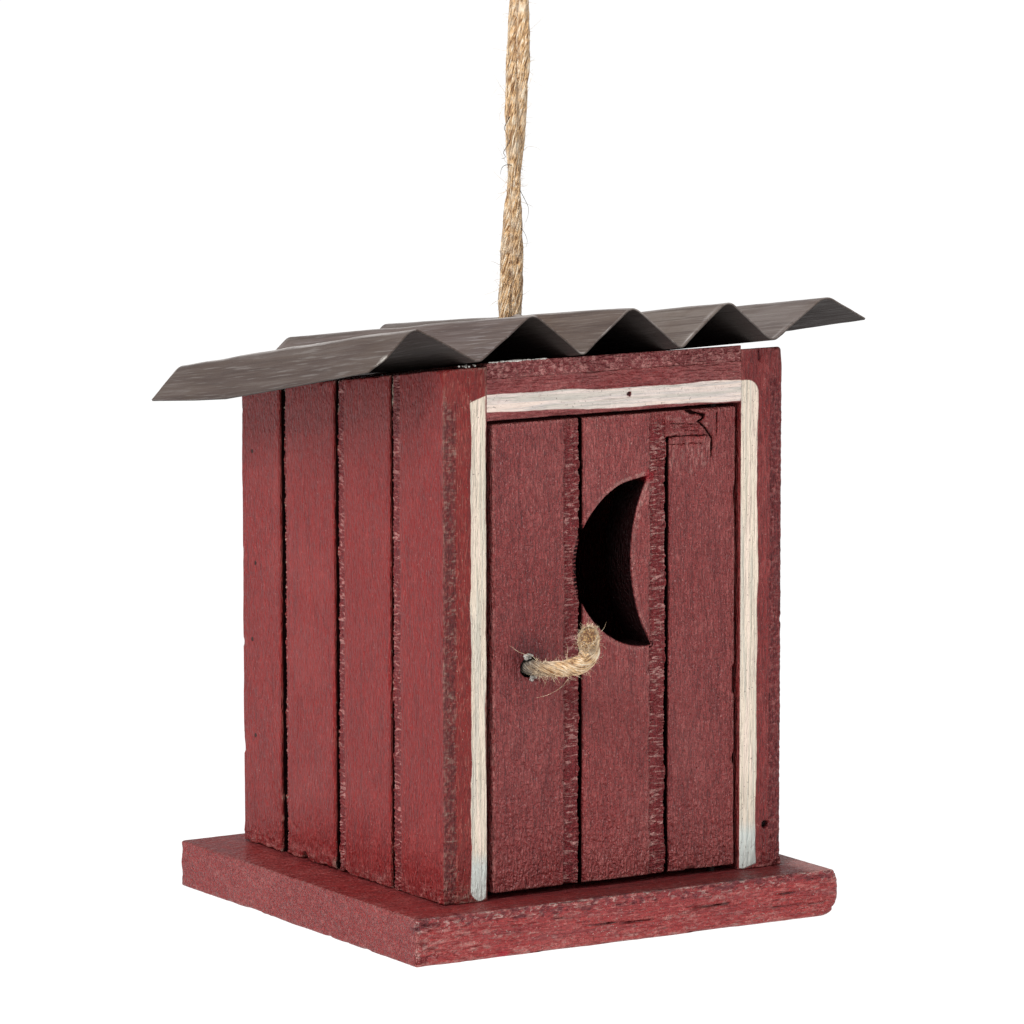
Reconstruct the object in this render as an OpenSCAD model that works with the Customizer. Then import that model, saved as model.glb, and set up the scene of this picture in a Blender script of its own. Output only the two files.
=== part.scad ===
/* [Body] */
// Width of the body across the outside of the side walls
body_w = 100; // [96:1:108]
// Depth of the body, front to back
body_d = 102; // [98:1:108]
// Height of the side walls at the front, above the base board
wall_h = 133.5; // [130:0.5:140]
// Thickness of the side and back boards
wall_t = 12.5; // [11:0.5:13]
// Fall of the roof from front to back, in degrees
roof_fall = 8.4; // [6:0.2:9]

/* [Base board] */
// Thickness of the base board
base_t = 12; // [10:1:15]
// How far the base stands out on the left
base_left = 14.5; // [8:0.5:20]
// How far the base stands out on the right
base_right = 11; // [8:0.5:20]
// How far the base stands out at the front
base_front = 11; // [8:0.5:20]
// How far the base stands out at the back
base_back = 8.5; // [6:0.5:20]
// Radius of the base board's corners
base_corner = 1.5; // [1:0.5:4]

/* [Front frame] */
// Height of the underside of the header above the base board
header_z = 120; // [119.5:0.1:121]
// Thickness of the header, front to back
header_t = 12.5; // [11:0.5:13]
// Thickness of the deck board under the roof
deck_t = 4; // [3:0.5:4.5]
// How far the deck board stands over the tops of the side walls
deck_up = 1; // [0.5:0.1:1.2]

/* [Door] */
// Thickness of the door
door_t = 12; // [10:0.5:12]
// Gap on the free side of the door
door_gap_left = 2; // [1.5:0.1:2.5]
// Gap on the pivot side of the door
door_gap_right = 1.4; // [1.2:0.1:2]
// Gap over the door
door_gap_top = 1; // [0.8:0.1:1.5]
// Gap under the door
door_gap_bottom = 1.6; // [1:0.1:2]
// How far the door's face is set back from the wall edges
door_inset = 0.5; // [0.3:0.1:1]
// Radius of the pivot nails
pivot_r = 0.9; // [0.8:0.1:1]
// Running clearance around a pivot nail, on the radius
pivot_play = 0.05; // [0.03:0.01:0.08]

/* [Crescent entrance] */
// Radius of the outer arc
moon_r = 21.4; // [19:0.2:22]
// Radius of the inner arc
moon_inner_r = 43.9; // [42:0.1:48]
// Height of the crescent's middle above the base board
moon_z = 81.6; // [78:0.2:84]
// Lean of the crescent, in degrees
moon_lean = 1.7; // [0:0.1:3]

/* [Saw grooves] */
// Width of the thin deep grooves between the planks of the door
kerf_w = 1.1; // [0.8:0.1:1.5]
// Depth of the thin grooves
kerf_deep = 2.8; // [1.5:0.1:3]
// Depth of the rough band beside a groove
band_deep = 0.5; // [0.3:0.1:0.8]

/* [Roof] */
// Thickness of the corrugated sheet
sheet_t = 0.5; // [0.4:0.1:0.8]
// Length of the sheet along the fall
sheet_len = 131; // [126:1:136]
// How far the sheet stands out over the front, along the fall
sheet_front = 7; // [5:1:10]
// Height of the corrugations, as a share of the normal height
wave = 1; // [0.8:0.05:1.1]

/* [Twine] */
// Thickness of one leg of the hanging twine
twine_d = 3.2; // [2.8:0.1:3.2]
// Distance from the middle of the hanging twine to the middle of a leg
leg_r = 1.65; // [1.65:0.05:1.8]
// Length of one full turn of the two legs about each other
twist_pitch = 112; // [100:1:130]
// Thickness of the twine of the door pull
pull_d = 3.6; // [3.2:0.1:4]

/* [Hidden] */
$fn = 48;
red = [0.47, 0.17, 0.18];
dark_red = [0.40, 0.09, 0.11];
steel = [0.35, 0.33, 0.32];
jute = [0.76, 0.58, 0.36];
glue = [0.9, 0.89, 0.85];

hw = body_w/2;                       // half width
hd = body_d/2;                       // half depth
iw = hw - wall_t;                    // half width between the side walls
top_f = base_t + wall_h;             // top of the walls at the front
fall = tan(roof_fall);
function top_z(y) = top_f - (y + hd)*fall;
// Top and underside of the deck board
function deck_hi(y) = top_z(y) + deck_up;
function deck_lo(y) = deck_hi(y) - deck_t;
e = 0.01;                            // overrun of a cut
head_z = base_t + header_z;          // underside of the header

// Door
dx0 = -iw + door_gap_left;
dx1 = iw - door_gap_right;
dy0 = -hd + door_inset;
dy1 = dy0 + door_t;
dz0 = base_t + door_gap_bottom;
dz1 = head_z - door_gap_top;
pivot_x = dx1 - 5;
pivot_y = dy0 + 3;
moon_x = 10.2;
mz = base_t + moon_z;
pull_x = -25;
pull_z = base_t + 57.7;
pull_hole_r = 2.4;

// Place where the hanging twine passes the roof
hole_x = 4;
hole_y = 6;

// Plank joints: middle of each thin groove, the width of its rough band, and its own width
door_cuts = [[-9.8, 4.4, kerf_w], [15.8, 4.7, kerf_w]];
wall_cuts = [[29.8, 0.9, 2.6], [2.1, 3.0, 2.1], [-25.5, 3.6, 1.4]];

// ---- boards ----

// A plate with its four upright corners rounded
module round_plate(x0, x1, y0, y1, t, r) {
    linear_extrude(t) union() {
        translate([x0 + r, y0]) square([x1 - x0 - 2*r, y1 - y0]);
        translate([x0, y0 + r]) square([x1 - x0, y1 - y0 - 2*r]);
        for (x = [x0 + r, x1 - r]) for (y = [y0 + r, y1 - r]) translate([x, y]) circle(r);
    }
}

module base_board() {
    color(dark_red) difference() {
        round_plate(-hw - base_left, hw + base_right, -hd - base_front, hd + base_back, base_t, base_corner);
        translate([pivot_x, pivot_y, -e]) cylinder(r = pivot_r, h = base_t + 2*e);
    }
}

// One side wall, seen from the left: a board with a sloping top
module side_board() {
    rotate([90, 0, 90]) linear_extrude(wall_t)
        polygon([[-hd, base_t], [hd, base_t], [hd, top_z(hd)], [-hd, top_z(-hd)]]);
}

module side_grooves() {
    for (c = wall_cuts) {
        translate([-e, c[0] - c[2]/2, base_t - 1]) cube([kerf_deep + e, c[2], wall_h + 4]);
        translate([-e, c[0] - c[2]/2 - c[1], base_t - 1]) cube([band_deep + e, c[1] + e, wall_h + 4]);
    }
}

module left_wall() {
    color(red) translate([-hw, 0, 0]) difference() {
        side_board();
        side_grooves();
        translate([-e, -hd - e, base_t - 1]) cube([3.6, band_deep/2 + e, wall_h + 4]);
    }
}

module right_wall() {
    color(red) mirror([1, 0, 0]) translate([-hw, 0, 0]) difference() {
        side_board();
        side_grooves();
        translate([-e, -hd - e, base_t - 1]) cube([3.6, band_deep/2 + e, wall_h + 4]);
    }
}

module back_wall() {
    y0 = hd - wall_t;
    color(red) translate([-iw, 0, 0]) rotate([90, 0, 90]) linear_extrude(2*iw)
        polygon([[y0, base_t], [hd, base_t], [hd, deck_lo(hd)], [y0, deck_lo(y0)]]);
}

module header() {
    y1 = -hd + header_t;
    color(red) difference() {
        translate([-iw, 0, 0]) rotate([90, 0, 90]) linear_extrude(2*iw)
            polygon([[-hd, head_z], [y1, head_z], [y1, deck_lo(y1)], [-hd, deck_lo(-hd)]]);
        translate([pivot_x, pivot_y, head_z - e]) cylinder(r = pivot_r, h = 20);
    }
}

// Thin board laid between the side walls, over the header and the back wall
module roof_deck() {
    color(red) difference() {
        translate([-iw, 0, 0]) rotate([90, 0, 90]) linear_extrude(2*iw)
            polygon([[-hd, deck_lo(-hd)], [hd, deck_lo(hd)], [hd, deck_hi(hd)], [-hd, deck_hi(-hd)]]);
        translate([hole_x, hole_y, top_z(hole_y) - 10]) cylinder(r = 3.8, h = 20);
        translate([pivot_x, pivot_y, head_z + e]) cylinder(r = pivot_r, h = 20);
    }
}

// ---- roof ----

// Bends of the hand-folded sheet across its width, [across, height over the wall tops]
bends = [[-71, 0.7], [-60.3, 10.1], [-43, 1.1], [-26.5, 12.4], [-13.4, 1.0], [1.8, 12.8],
         [15, 1.0], [29.3, 12.2], [41.8, 1.3], [58.2, 11.5], [69.3, 5.2]];
function bend_h(i) = 1 + (bends[i][1] - 1)*wave;
function bp(i) = [bends[i][0], bend_h(i)];
function unit(v) = v/norm(v);
// Length that the rounding of a bend takes from each side: crests are rounder than valleys
function soft(i) = i % 2 == 1 ? 2.6 : 1.6;
function corner(i, t) =
    let (a = bp(i) + unit(bp(i - 1) - bp(i))*soft(i), b = bp(i) + unit(bp(i + 1) - bp(i))*soft(i))
    (1 - t)*(1 - t)*a + 2*t*(1 - t)*bp(i) + t*t*b;
last = len(bends) - 1;
line = concat([bp(0)], [for (i = [1:last - 1]) for (k = [0:4]) corner(i, k/4)], [bp(last)]);
n_line = len(line);
function side(i) = let (d = unit(line[min(i + 1, n_line - 1)] - line[max(i - 1, 0)])) [-d[1], d[0]];
sheet_profile = concat([for (i = [0:n_line - 1]) line[i] + side(i)*sheet_t/2],
                       [for (i = [n_line - 1:-1:0]) line[i] - side(i)*sheet_t/2]);

// Puts something drawn over the wall tops in place on the fall of the roof
module on_roof() {
    translate([0, -hd, top_f]) rotate([-roof_fall, 0, 0]) rotate([0, 0, -2.4]) children();
}

module sheet_solid() {
    on_roof() translate([0, -sheet_front + sheet_len, 0]) rotate([90, 0, 0])
        linear_extrude(sheet_len) polygon(sheet_profile);
}

module roof_sheet() {
    color(steel) difference() {
        sheet_solid();
        translate([hole_x, hole_y, top_z(hole_y) + 2]) cylinder(r = 3.8, h = 20);
    }
}

// Lumps of hot glue that hold the valleys of the sheet on the deck
glue_spots = [[-13.5, 4, 7], [15, 5, 6], [-13.5, 96, 7], [15, 97, 6]];
module roof_glue_beads() {
    color(glue) difference() {
        for (g = glue_spots) on_roof()
            translate([g[0] + 0.042*g[1], g[1], -1]) cylinder(r = g[2]/2, h = 3.6);
        sheet_solid();
        // everything above the underside of the sheet
        on_roof() translate([0, -sheet_front + sheet_len + 5, 0]) rotate([90, 0, 0]) linear_extrude(sheet_len + 10)
            polygon(concat([for (i = [0:n_line - 1]) line[i]], [[70, 40], [-72, 40]]));
        // the deck and everything below it
        translate([-hw, 0, 0]) rotate([90, 0, 90]) linear_extrude(body_w)
            polygon([[-hd - 20, 0], [hd + 20, 0], [hd + 20, deck_hi(hd + 20)], [-hd - 20, deck_hi(-hd - 20)]]);
    }
}

// ---- door ----

// The crescent, standing in the plane of the door
module moon_cut() {
    translate([moon_x, dy1 + 1, mz]) rotate([90, 0, 0]) linear_extrude(door_t + 3)
        rotate(moon_lean) difference() {
            circle(moon_r, $fn = 96);
            translate([38.5, 0]) circle(moon_inner_r, $fn = 96);
        }
}

module door_panel() {
    color(red) difference() {
        translate([dx0, dy0, dz0]) cube([dx1 - dx0, door_t, dz1 - dz0]);
        for (c = door_cuts) {
            translate([c[0] - kerf_w/2, dy0 - e, dz0 - 1]) cube([kerf_w, kerf_deep + e, dz1 - dz0 + 2]);
            translate([c[0] - kerf_w/2 - c[1], dy0 - e, dz0 - 1]) cube([c[1] + e, band_deep + e, dz1 - dz0 + 2]);
        }
        moon_cut();
        translate([pull_x, dy0 - 1, pull_z]) rotate([-90, 0, 0]) cylinder(r = pull_hole_r, h = door_t + 2);
        translate([pivot_x, pivot_y, dz0 - e]) cylinder(r = pivot_r + pivot_play, h = 14);
        translate([pivot_x, pivot_y, dz1 - 14]) cylinder(r = pivot_r + pivot_play, h = 14 + e);
    }
}

// Round wire nail standing on its head, point up
module nail(r, len, head_r, head_t) {
    cylinder(r = head_r, h = head_t);
    cylinder(r = r, h = len);
}

module door_pivot_nail_bottom() {
    color("gray") translate([pivot_x, pivot_y, 0])
        cylinder(r = pivot_r, h = base_t + door_gap_bottom + 12);
}

module door_pivot_nail_top() {
    color("gray") translate([pivot_x, pivot_y, dz1 - 12])
        cylinder(r = pivot_r, h = deck_hi(pivot_y) - dz1 + 11.5);
}

// ---- twine ----

function cross3(a, b) = [a[1]*b[2] - a[2]*b[1], a[2]*b[0] - a[0]*b[2], a[0]*b[1] - a[1]*b[0]];
// Ring i of a tube along pts, with frames set by a fixed reference direction
function tube_ring(pts, i, r, ref, n) =
    let (t = unit(pts[min(i + 1, len(pts) - 1)] - pts[max(i - 1, 0)]),
         u = unit(cross3(t, ref)), w = cross3(u, t))
    [for (k = [0:n - 1]) pts[i] + r*(cos(360*k/n)*u + sin(360*k/n)*w)];
module tube(pts, r, ref, n = 8) {
    m = len(pts);
    rings = [for (i = [0:m - 1]) each tube_ring(pts, i, r, ref, n)];
    walls = [for (i = [0:m - 2]) for (k = [0:n - 1])
        let (a = i*n + k, b = i*n + (k + 1) % n, c = (i + 1)*n + (k + 1) % n, d = (i + 1)*n + k)
        each [[a, b, c], [a, c, d]]];
    polyhedron(rings, concat(walls, [[for (k = [n - 1:-1:0]) k], [for (k = [0:n - 1]) (m - 1)*n + k]]));
}

// The two legs of the hanging twine lean a little to the right as they rise
lean = 0.036;
twist_z0 = 138;
twist_z1 = 232;
function axis_x(z) = hole_x + (z - 150)*lean;
// Left-handed twist, with one leg behind the other at twist_z1
function leg(z, side) =
    let (a = 180*side - 90 + (twist_z1 - z)*360/twist_pitch)
    [axis_x(z) + leg_r*cos(a), hole_y + leg_r*sin(a), z];
twist_steps = 24;
function leg_z(i) = twist_z0 - 4 + i*(twist_z1 - twist_z0 + 4)/twist_steps;
// The loop over the twist, front half: [out from the middle, height]
loop_half = [[2.0, 236], [3.6, 240], [5.4, 244], [6.8, 248], [7.2, 252], [6.2, 256], [3.6, 258.6]];
loop_top = 259.6;
function loop_pt(p, s) = [axis_x(p[1]), hole_y - s*p[0], p[1]];
hang_route = concat([for (i = [0:twist_steps]) leg(leg_z(i), 0)],
                    [for (p = loop_half) loop_pt(p, 1)],
                    [loop_pt([0, loop_top], 1)],
                    [for (i = [len(loop_half) - 1:-1:0]) loop_pt(loop_half[i], -1)],
                    [for (i = [twist_steps:-1:0]) leg(leg_z(i), 1)]);

module hanging_twine() { color(jute) tube(hang_route, twine_d/2, [1, 0.03, 0.02]); }

// A pulled-tight knot: a round lump with flattened ends
module knot(r, h) {
    rotate_extrude() intersection() { circle(r = r); translate([0, -h/2]) square([r + 1, h]); }
}

// Stopper knot under the deck
knot_h = 7;
module hanging_twine_knot() {
    color(jute) translate([axis_x(132), hole_y, deck_lo(hole_y + 4.2) - knot_h/2 - 0.05]) knot(5.4, knot_h);
}

// The pull: straight out of its hole, curving to the right, then curling up and forward
pull_route = [[-25, dy1 + 1, pull_z], [-25, dy1 - 3, pull_z], [-25, dy1 - 7, pull_z], [-25, dy0 + 2.4, pull_z],
              [-24.9, dy0 - 0.6, pull_z], [-24.3, dy0 - 3, pull_z + 0.1], [-22.7, dy0 - 5.2, pull_z + 0.1],
              [-20.4, dy0 - 6.7, pull_z + 0.2], [-17.9, dy0 - 7.9, pull_z + 0.4], [-15.8, dy0 - 9.1, pull_z + 1.2],
              [-14.6, dy0 - 10.2, pull_z + 2.6], [-14.4, dy0 - 11.1, pull_z + 4.4], [-14.9, dy0 - 11.8, pull_z + 6.2],
              [-15.3, dy0 - 12.3, pull_z + 7.8]];
module door_pull_twine() { color(jute) tube(pull_route, pull_d/2, [0.5, 0.6, 0.6]); }
module door_pull_knot() {
    color(jute) translate([-25, dy1 + 3, pull_z]) rotate([90, 0, 0]) knot(4.6, 6);
}

// Two dabs of glue on the door, over and under the hole of the pull
module door_pull_glue() {
    color(glue) for (p = [[-24.9, 3.7], [-24.2, -3.7]])
        translate([p[0], dy0, pull_z + p[1]]) rotate([90, 0, 0]) cylinder(r = 1.2, h = 0.6);
}

// ---- brads and nails ----

// Brads through the left wall into the edge of the back wall
module left_wall_brads() {
    color("gray") for (p = [[45.5, 115], [44.2, 86], [46, 65.8], [44.7, 40.7]])
        translate([-hw + 0.1, p[0], p[1]]) rotate([0, 90, 0]) cylinder(r = 0.6, h = 24);
}
module right_wall_brads() {
    color("gray") for (p = [[45, 112], [44.5, 84], [45.5, 62], [45, 38]])
        translate([hw - 0.1, p[0], p[1]]) rotate([0, -90, 0]) cylinder(r = 0.6, h = 24);
}
// Nails up through the base board into the walls
module base_nails() {
    color("gray") for (p = [[-43.5, -32], [-43.5, 30], [43.5, -32], [43.5, 30], [-18, 44.8], [18, 44.8]])
        translate([p[0], p[1], 0]) nail(0.9, 30, 2, 0.8);
}

base_board();
left_wall();
right_wall();
back_wall();
header();
roof_deck();
roof_sheet();
roof_glue_beads();
door_panel();
door_pivot_nail_top();
door_pivot_nail_bottom();
door_pull_twine();
door_pull_knot();
door_pull_glue();
hanging_twine();
hanging_twine_knot();
left_wall_brads();
right_wall_brads();
base_nails();
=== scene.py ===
"""Outhouse birdhouse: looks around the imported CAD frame. Metres, CAD frame: -Y front, +X right, +Z up.
Lengths inside the builders are in millimetres, and MM turns them into metres."""
import bpy, bmesh, math
import numpy as np
from mathutils import Vector, Matrix


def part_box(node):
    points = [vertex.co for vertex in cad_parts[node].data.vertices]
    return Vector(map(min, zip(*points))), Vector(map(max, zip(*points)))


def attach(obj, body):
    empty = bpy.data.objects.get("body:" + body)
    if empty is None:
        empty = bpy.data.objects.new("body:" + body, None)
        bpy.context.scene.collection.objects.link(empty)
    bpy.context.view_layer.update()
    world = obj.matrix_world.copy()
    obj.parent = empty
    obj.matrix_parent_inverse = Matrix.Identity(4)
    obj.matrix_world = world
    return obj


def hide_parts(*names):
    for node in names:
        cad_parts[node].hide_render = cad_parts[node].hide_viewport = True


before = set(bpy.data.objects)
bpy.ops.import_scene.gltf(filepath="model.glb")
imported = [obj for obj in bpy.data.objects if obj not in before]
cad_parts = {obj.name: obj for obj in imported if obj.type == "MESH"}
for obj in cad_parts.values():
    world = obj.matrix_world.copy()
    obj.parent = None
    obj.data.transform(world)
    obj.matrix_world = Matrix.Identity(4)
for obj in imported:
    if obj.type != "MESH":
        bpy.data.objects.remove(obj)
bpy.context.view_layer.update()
MM = 0.001
scene = bpy.context.scene

# ---------------------------------------------------------------- camera
AZ, EL, ROLL = math.radians(-31.45), math.radians(7.89), math.radians(-0.05)
cam_data = bpy.data.cameras.new("camera")
cam_data.sensor_width = 36.0
cam_data.lens = 6174.0 / 1024.0 * 36.0
cam = bpy.data.objects.new("camera", cam_data)
scene.collection.objects.link(cam)
back = Vector((math.sin(AZ) * math.cos(EL), -math.cos(AZ) * math.cos(EL), math.sin(EL)))
right = Vector((math.cos(AZ), math.sin(AZ), 0))
up = back.cross(right)
r2 = right * math.cos(ROLL) + up * math.sin(ROLL)
u2 = up * math.cos(ROLL) - right * math.sin(ROLL)
m = Matrix((r2, u2, back)).transposed().to_4x4()
m.translation = Vector((-0.81778, -1.3386, 0.31821))
cam.matrix_world = m
scene.camera = cam

# ---------------------------------------------------------------- noise
def _hash(i, j, k, seed):
    h = (i.astype(np.int64) * 73856093) ^ (j.astype(np.int64) * 19349663) ^ (k.astype(np.int64) * 83492791) ^ (seed * 2654435761 & 0x7FFFFFFF)
    h &= 0xFFFFFFFF
    h = ((h ^ (h >> 16)) * 0x45D9F3B) & 0xFFFFFFFF
    h = ((h ^ (h >> 16)) * 0x45D9F3B) & 0xFFFFFFFF
    h = h ^ (h >> 16)
    return (h & 0xFFFFFF) / float(0xFFFFFF) * 2 - 1


def noise(x, y=0.0, z=0.0, seed=1):
    """Smooth value noise in -1..1."""
    x, y, z = np.broadcast_arrays(np.asarray(x, float), np.asarray(y, float), np.asarray(z, float))
    i, j, k = np.floor(x), np.floor(y), np.floor(z)
    u, v, w = x - i, y - j, z - k
    u, v, w = (t * t * t * (t * (t * 6 - 15) + 10) for t in (u, v, w))
    out = 0
    for a in (0, 1):
        for b in (0, 1):
            for c in (0, 1):
                n = _hash(i + a, j + b, k + c, seed)
                out = out + n * (u if a else 1 - u) * (v if b else 1 - v) * (w if c else 1 - w)
    return out


def fbm(x, y=0.0, z=0.0, seed=1, octaves=3):
    s, amp, tot = 0, 1.0, 0
    for o in range(octaves):
        s = s + amp * noise(np.asarray(x) * 2 ** o, np.asarray(y) * 2 ** o, np.asarray(z) * 2 ** o, seed + o * 17)
        tot += amp
        amp *= 0.5
    return s / tot


def smooth(a, b, x):
    t = np.clip((x - a) / (b - a), 0, 1)
    return t * t * (3 - 2 * t)


# ---------------------------------------------------------------- mesh helpers
def new_object(name, verts, faces, slot, body="root"):
    me = bpy.data.meshes.new(name)
    me.from_pydata([tuple(p) for p in np.asarray(verts) * MM], [], faces)
    me.validate()
    me.update()
    o = bpy.data.objects.new(name, me)
    scene.collection.objects.link(o)
    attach(o, body)
    return o


def fast_mesh(name, verts, quads, extra=()):
    """A mesh from an array of points and an array of quads, plus any other faces."""
    me = bpy.data.meshes.new(name)
    verts = np.asarray(verts, float) * MM
    quads = np.asarray(quads, np.int64).reshape(-1, 4)
    loops = [quads.ravel()] + [np.asarray(f, np.int64) for f in extra]
    sizes = np.concatenate([np.full(len(quads), 4), np.array([len(f) for f in extra], int)]).astype(np.int64)
    loops = np.concatenate(loops)
    me.vertices.add(len(verts))
    me.vertices.foreach_set("co", verts.ravel())
    me.loops.add(len(loops))
    me.loops.foreach_set("vertex_index", loops.astype(np.int32))
    me.polygons.add(len(sizes))
    starts = np.concatenate([[0], np.cumsum(sizes)[:-1]])
    me.polygons.foreach_set("loop_start", starts.astype(np.int32))
    me.update(calc_edges=True)
    me.validate()
    return me


def finish_shading(me, angle=38):
    me.polygons.foreach_set("use_smooth", np.ones(len(me.polygons), bool))
    try:
        me.set_sharp_from_angle(angle=math.radians(angle))
    except Exception:
        pass
    me.update()


def points_of(me):
    co = np.zeros(len(me.vertices) * 3, np.float64)
    me.vertices.foreach_get("co", co)
    return co.reshape(-1, 3) / MM


def normals_of(me):
    n = np.zeros(len(me.vertices) * 3, np.float64)
    me.vertices.foreach_get("normal", n)
    return n.reshape(-1, 3)


def set_attribute(me, name, values):
    a = me.attributes.get(name) or me.attributes.new(name, "FLOAT", "POINT")
    a.data.foreach_set("value", np.asarray(values, np.float32))


def lattice(xs, ys, zs):
    """The outside of a block of cells: points, quads."""
    nx, ny, nz = len(xs), len(ys), len(zs)
    X, Y, Z = np.meshgrid(xs, ys, zs, indexing="ij")
    inside = np.zeros((nx, ny, nz), bool)
    inside[1:-1, 1:-1, 1:-1] = True
    ids = np.full((nx, ny, nz), -1, np.int64)
    keep = ~inside
    ids[keep] = np.arange(keep.sum())
    pts = np.stack([X[keep], Y[keep], Z[keep]], 1)
    quads = []

    def sheet_of(g, flip):
        a, b, c, d = g[:-1, :-1], g[1:, :-1], g[1:, 1:], g[:-1, 1:]
        q = np.stack([a, b, c, d], -1).reshape(-1, 4)
        return q[:, ::-1] if flip else q
    quads.append(sheet_of(ids[0], True))
    quads.append(sheet_of(ids[-1], False))
    quads.append(sheet_of(ids[:, 0], False))
    quads.append(sheet_of(ids[:, -1], True))
    quads.append(sheet_of(ids[:, :, 0], True))
    quads.append(sheet_of(ids[:, :, -1], False))
    return pts, np.concatenate(quads)


def lines(a, b, step, extra=(), edge=(0.12, 0.3, 0.55, 0.9)):
    """Coordinates from a to b about step apart, with finer ones by both ends, and more at extra = [(lo, hi, step)]."""
    n = max(1, int(round((b - a) / step)))
    v = list(np.linspace(a, b, n + 1))
    v += [a + t for t in edge] + [b - t for t in edge]
    for lo, hi, st in extra:
        v = [t for t in v if not lo + 1e-6 < t < hi - 1e-6]
        k = max(1, int(round((hi - lo) / st)))
        v += list(np.linspace(lo, hi, k + 1))
    v = sorted(t for t in v if a - 1e-9 <= t <= b + 1e-9)
    out = [a]
    for t in v:
        if t - out[-1] > 0.07:
            out.append(t)
    if b - out[-1] < 0.07:
        out[-1] = b
    else:
        out.append(b)
    return np.array(out)


def round_edges(P, lo, hi, radius):
    """Rounds the edges of a block: radius is a number or an array per point."""
    r = np.broadcast_to(np.asarray(radius, float), (len(P),))[:, None]
    inner = np.clip(P, lo + r, hi - r)
    d = P - inner
    n = np.linalg.norm(d, axis=1, keepdims=True)
    on_edge = (np.abs(d) > 1e-9).sum(1) > 1
    out = P.copy()
    k = np.maximum(n, 1e-9)
    out[on_edge] = (inner + d / k * r)[on_edge]
    return out


def boolean_cut(o, cutters):
    for c in cutters:
        mod = o.modifiers.new("cut", "BOOLEAN")
        mod.operation = "DIFFERENCE"
        mod.solver = "EXACT"
        mod.object = c
    dg = bpy.context.evaluated_depsgraph_get()
    me = bpy.data.meshes.new_from_object(o.evaluated_get(dg))
    o.modifiers.clear()
    old = o.data
    o.data = me
    bpy.data.meshes.remove(old)
    for c in cutters:
        d = c.data
        bpy.data.objects.remove(c)
        bpy.data.meshes.remove(d)
    return o


def prism(outline, levels):
    """Closed solid through copies of an outline at several levels: levels = [(y, list of 2-D points)]."""
    n = len(levels[0][1])
    pts = []
    for y, ring in levels:
        pts += [(p[0], y, p[1]) for p in ring]
    faces = []
    for i in range(len(levels) - 1):
        for k in range(n):
            a, b = i * n + k, i * n + (k + 1) % n
            faces.append((a, b, b + n, a + n))
    faces.append(tuple(range(n - 1, -1, -1)))
    faces.append(tuple(range((len(levels) - 1) * n, len(levels) * n)))
    me = bpy.data.meshes.new("cutter")
    me.from_pydata([tuple(np.array(p) * MM) for p in pts], [], faces)
    bm = bmesh.new()
    bm.from_mesh(me)
    bmesh.ops.recalc_face_normals(bm, faces=bm.faces)
    bm.to_mesh(me)
    bm.free()
    o = bpy.data.objects.new("cutter", me)
    scene.collection.objects.link(o)
    return o


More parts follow.
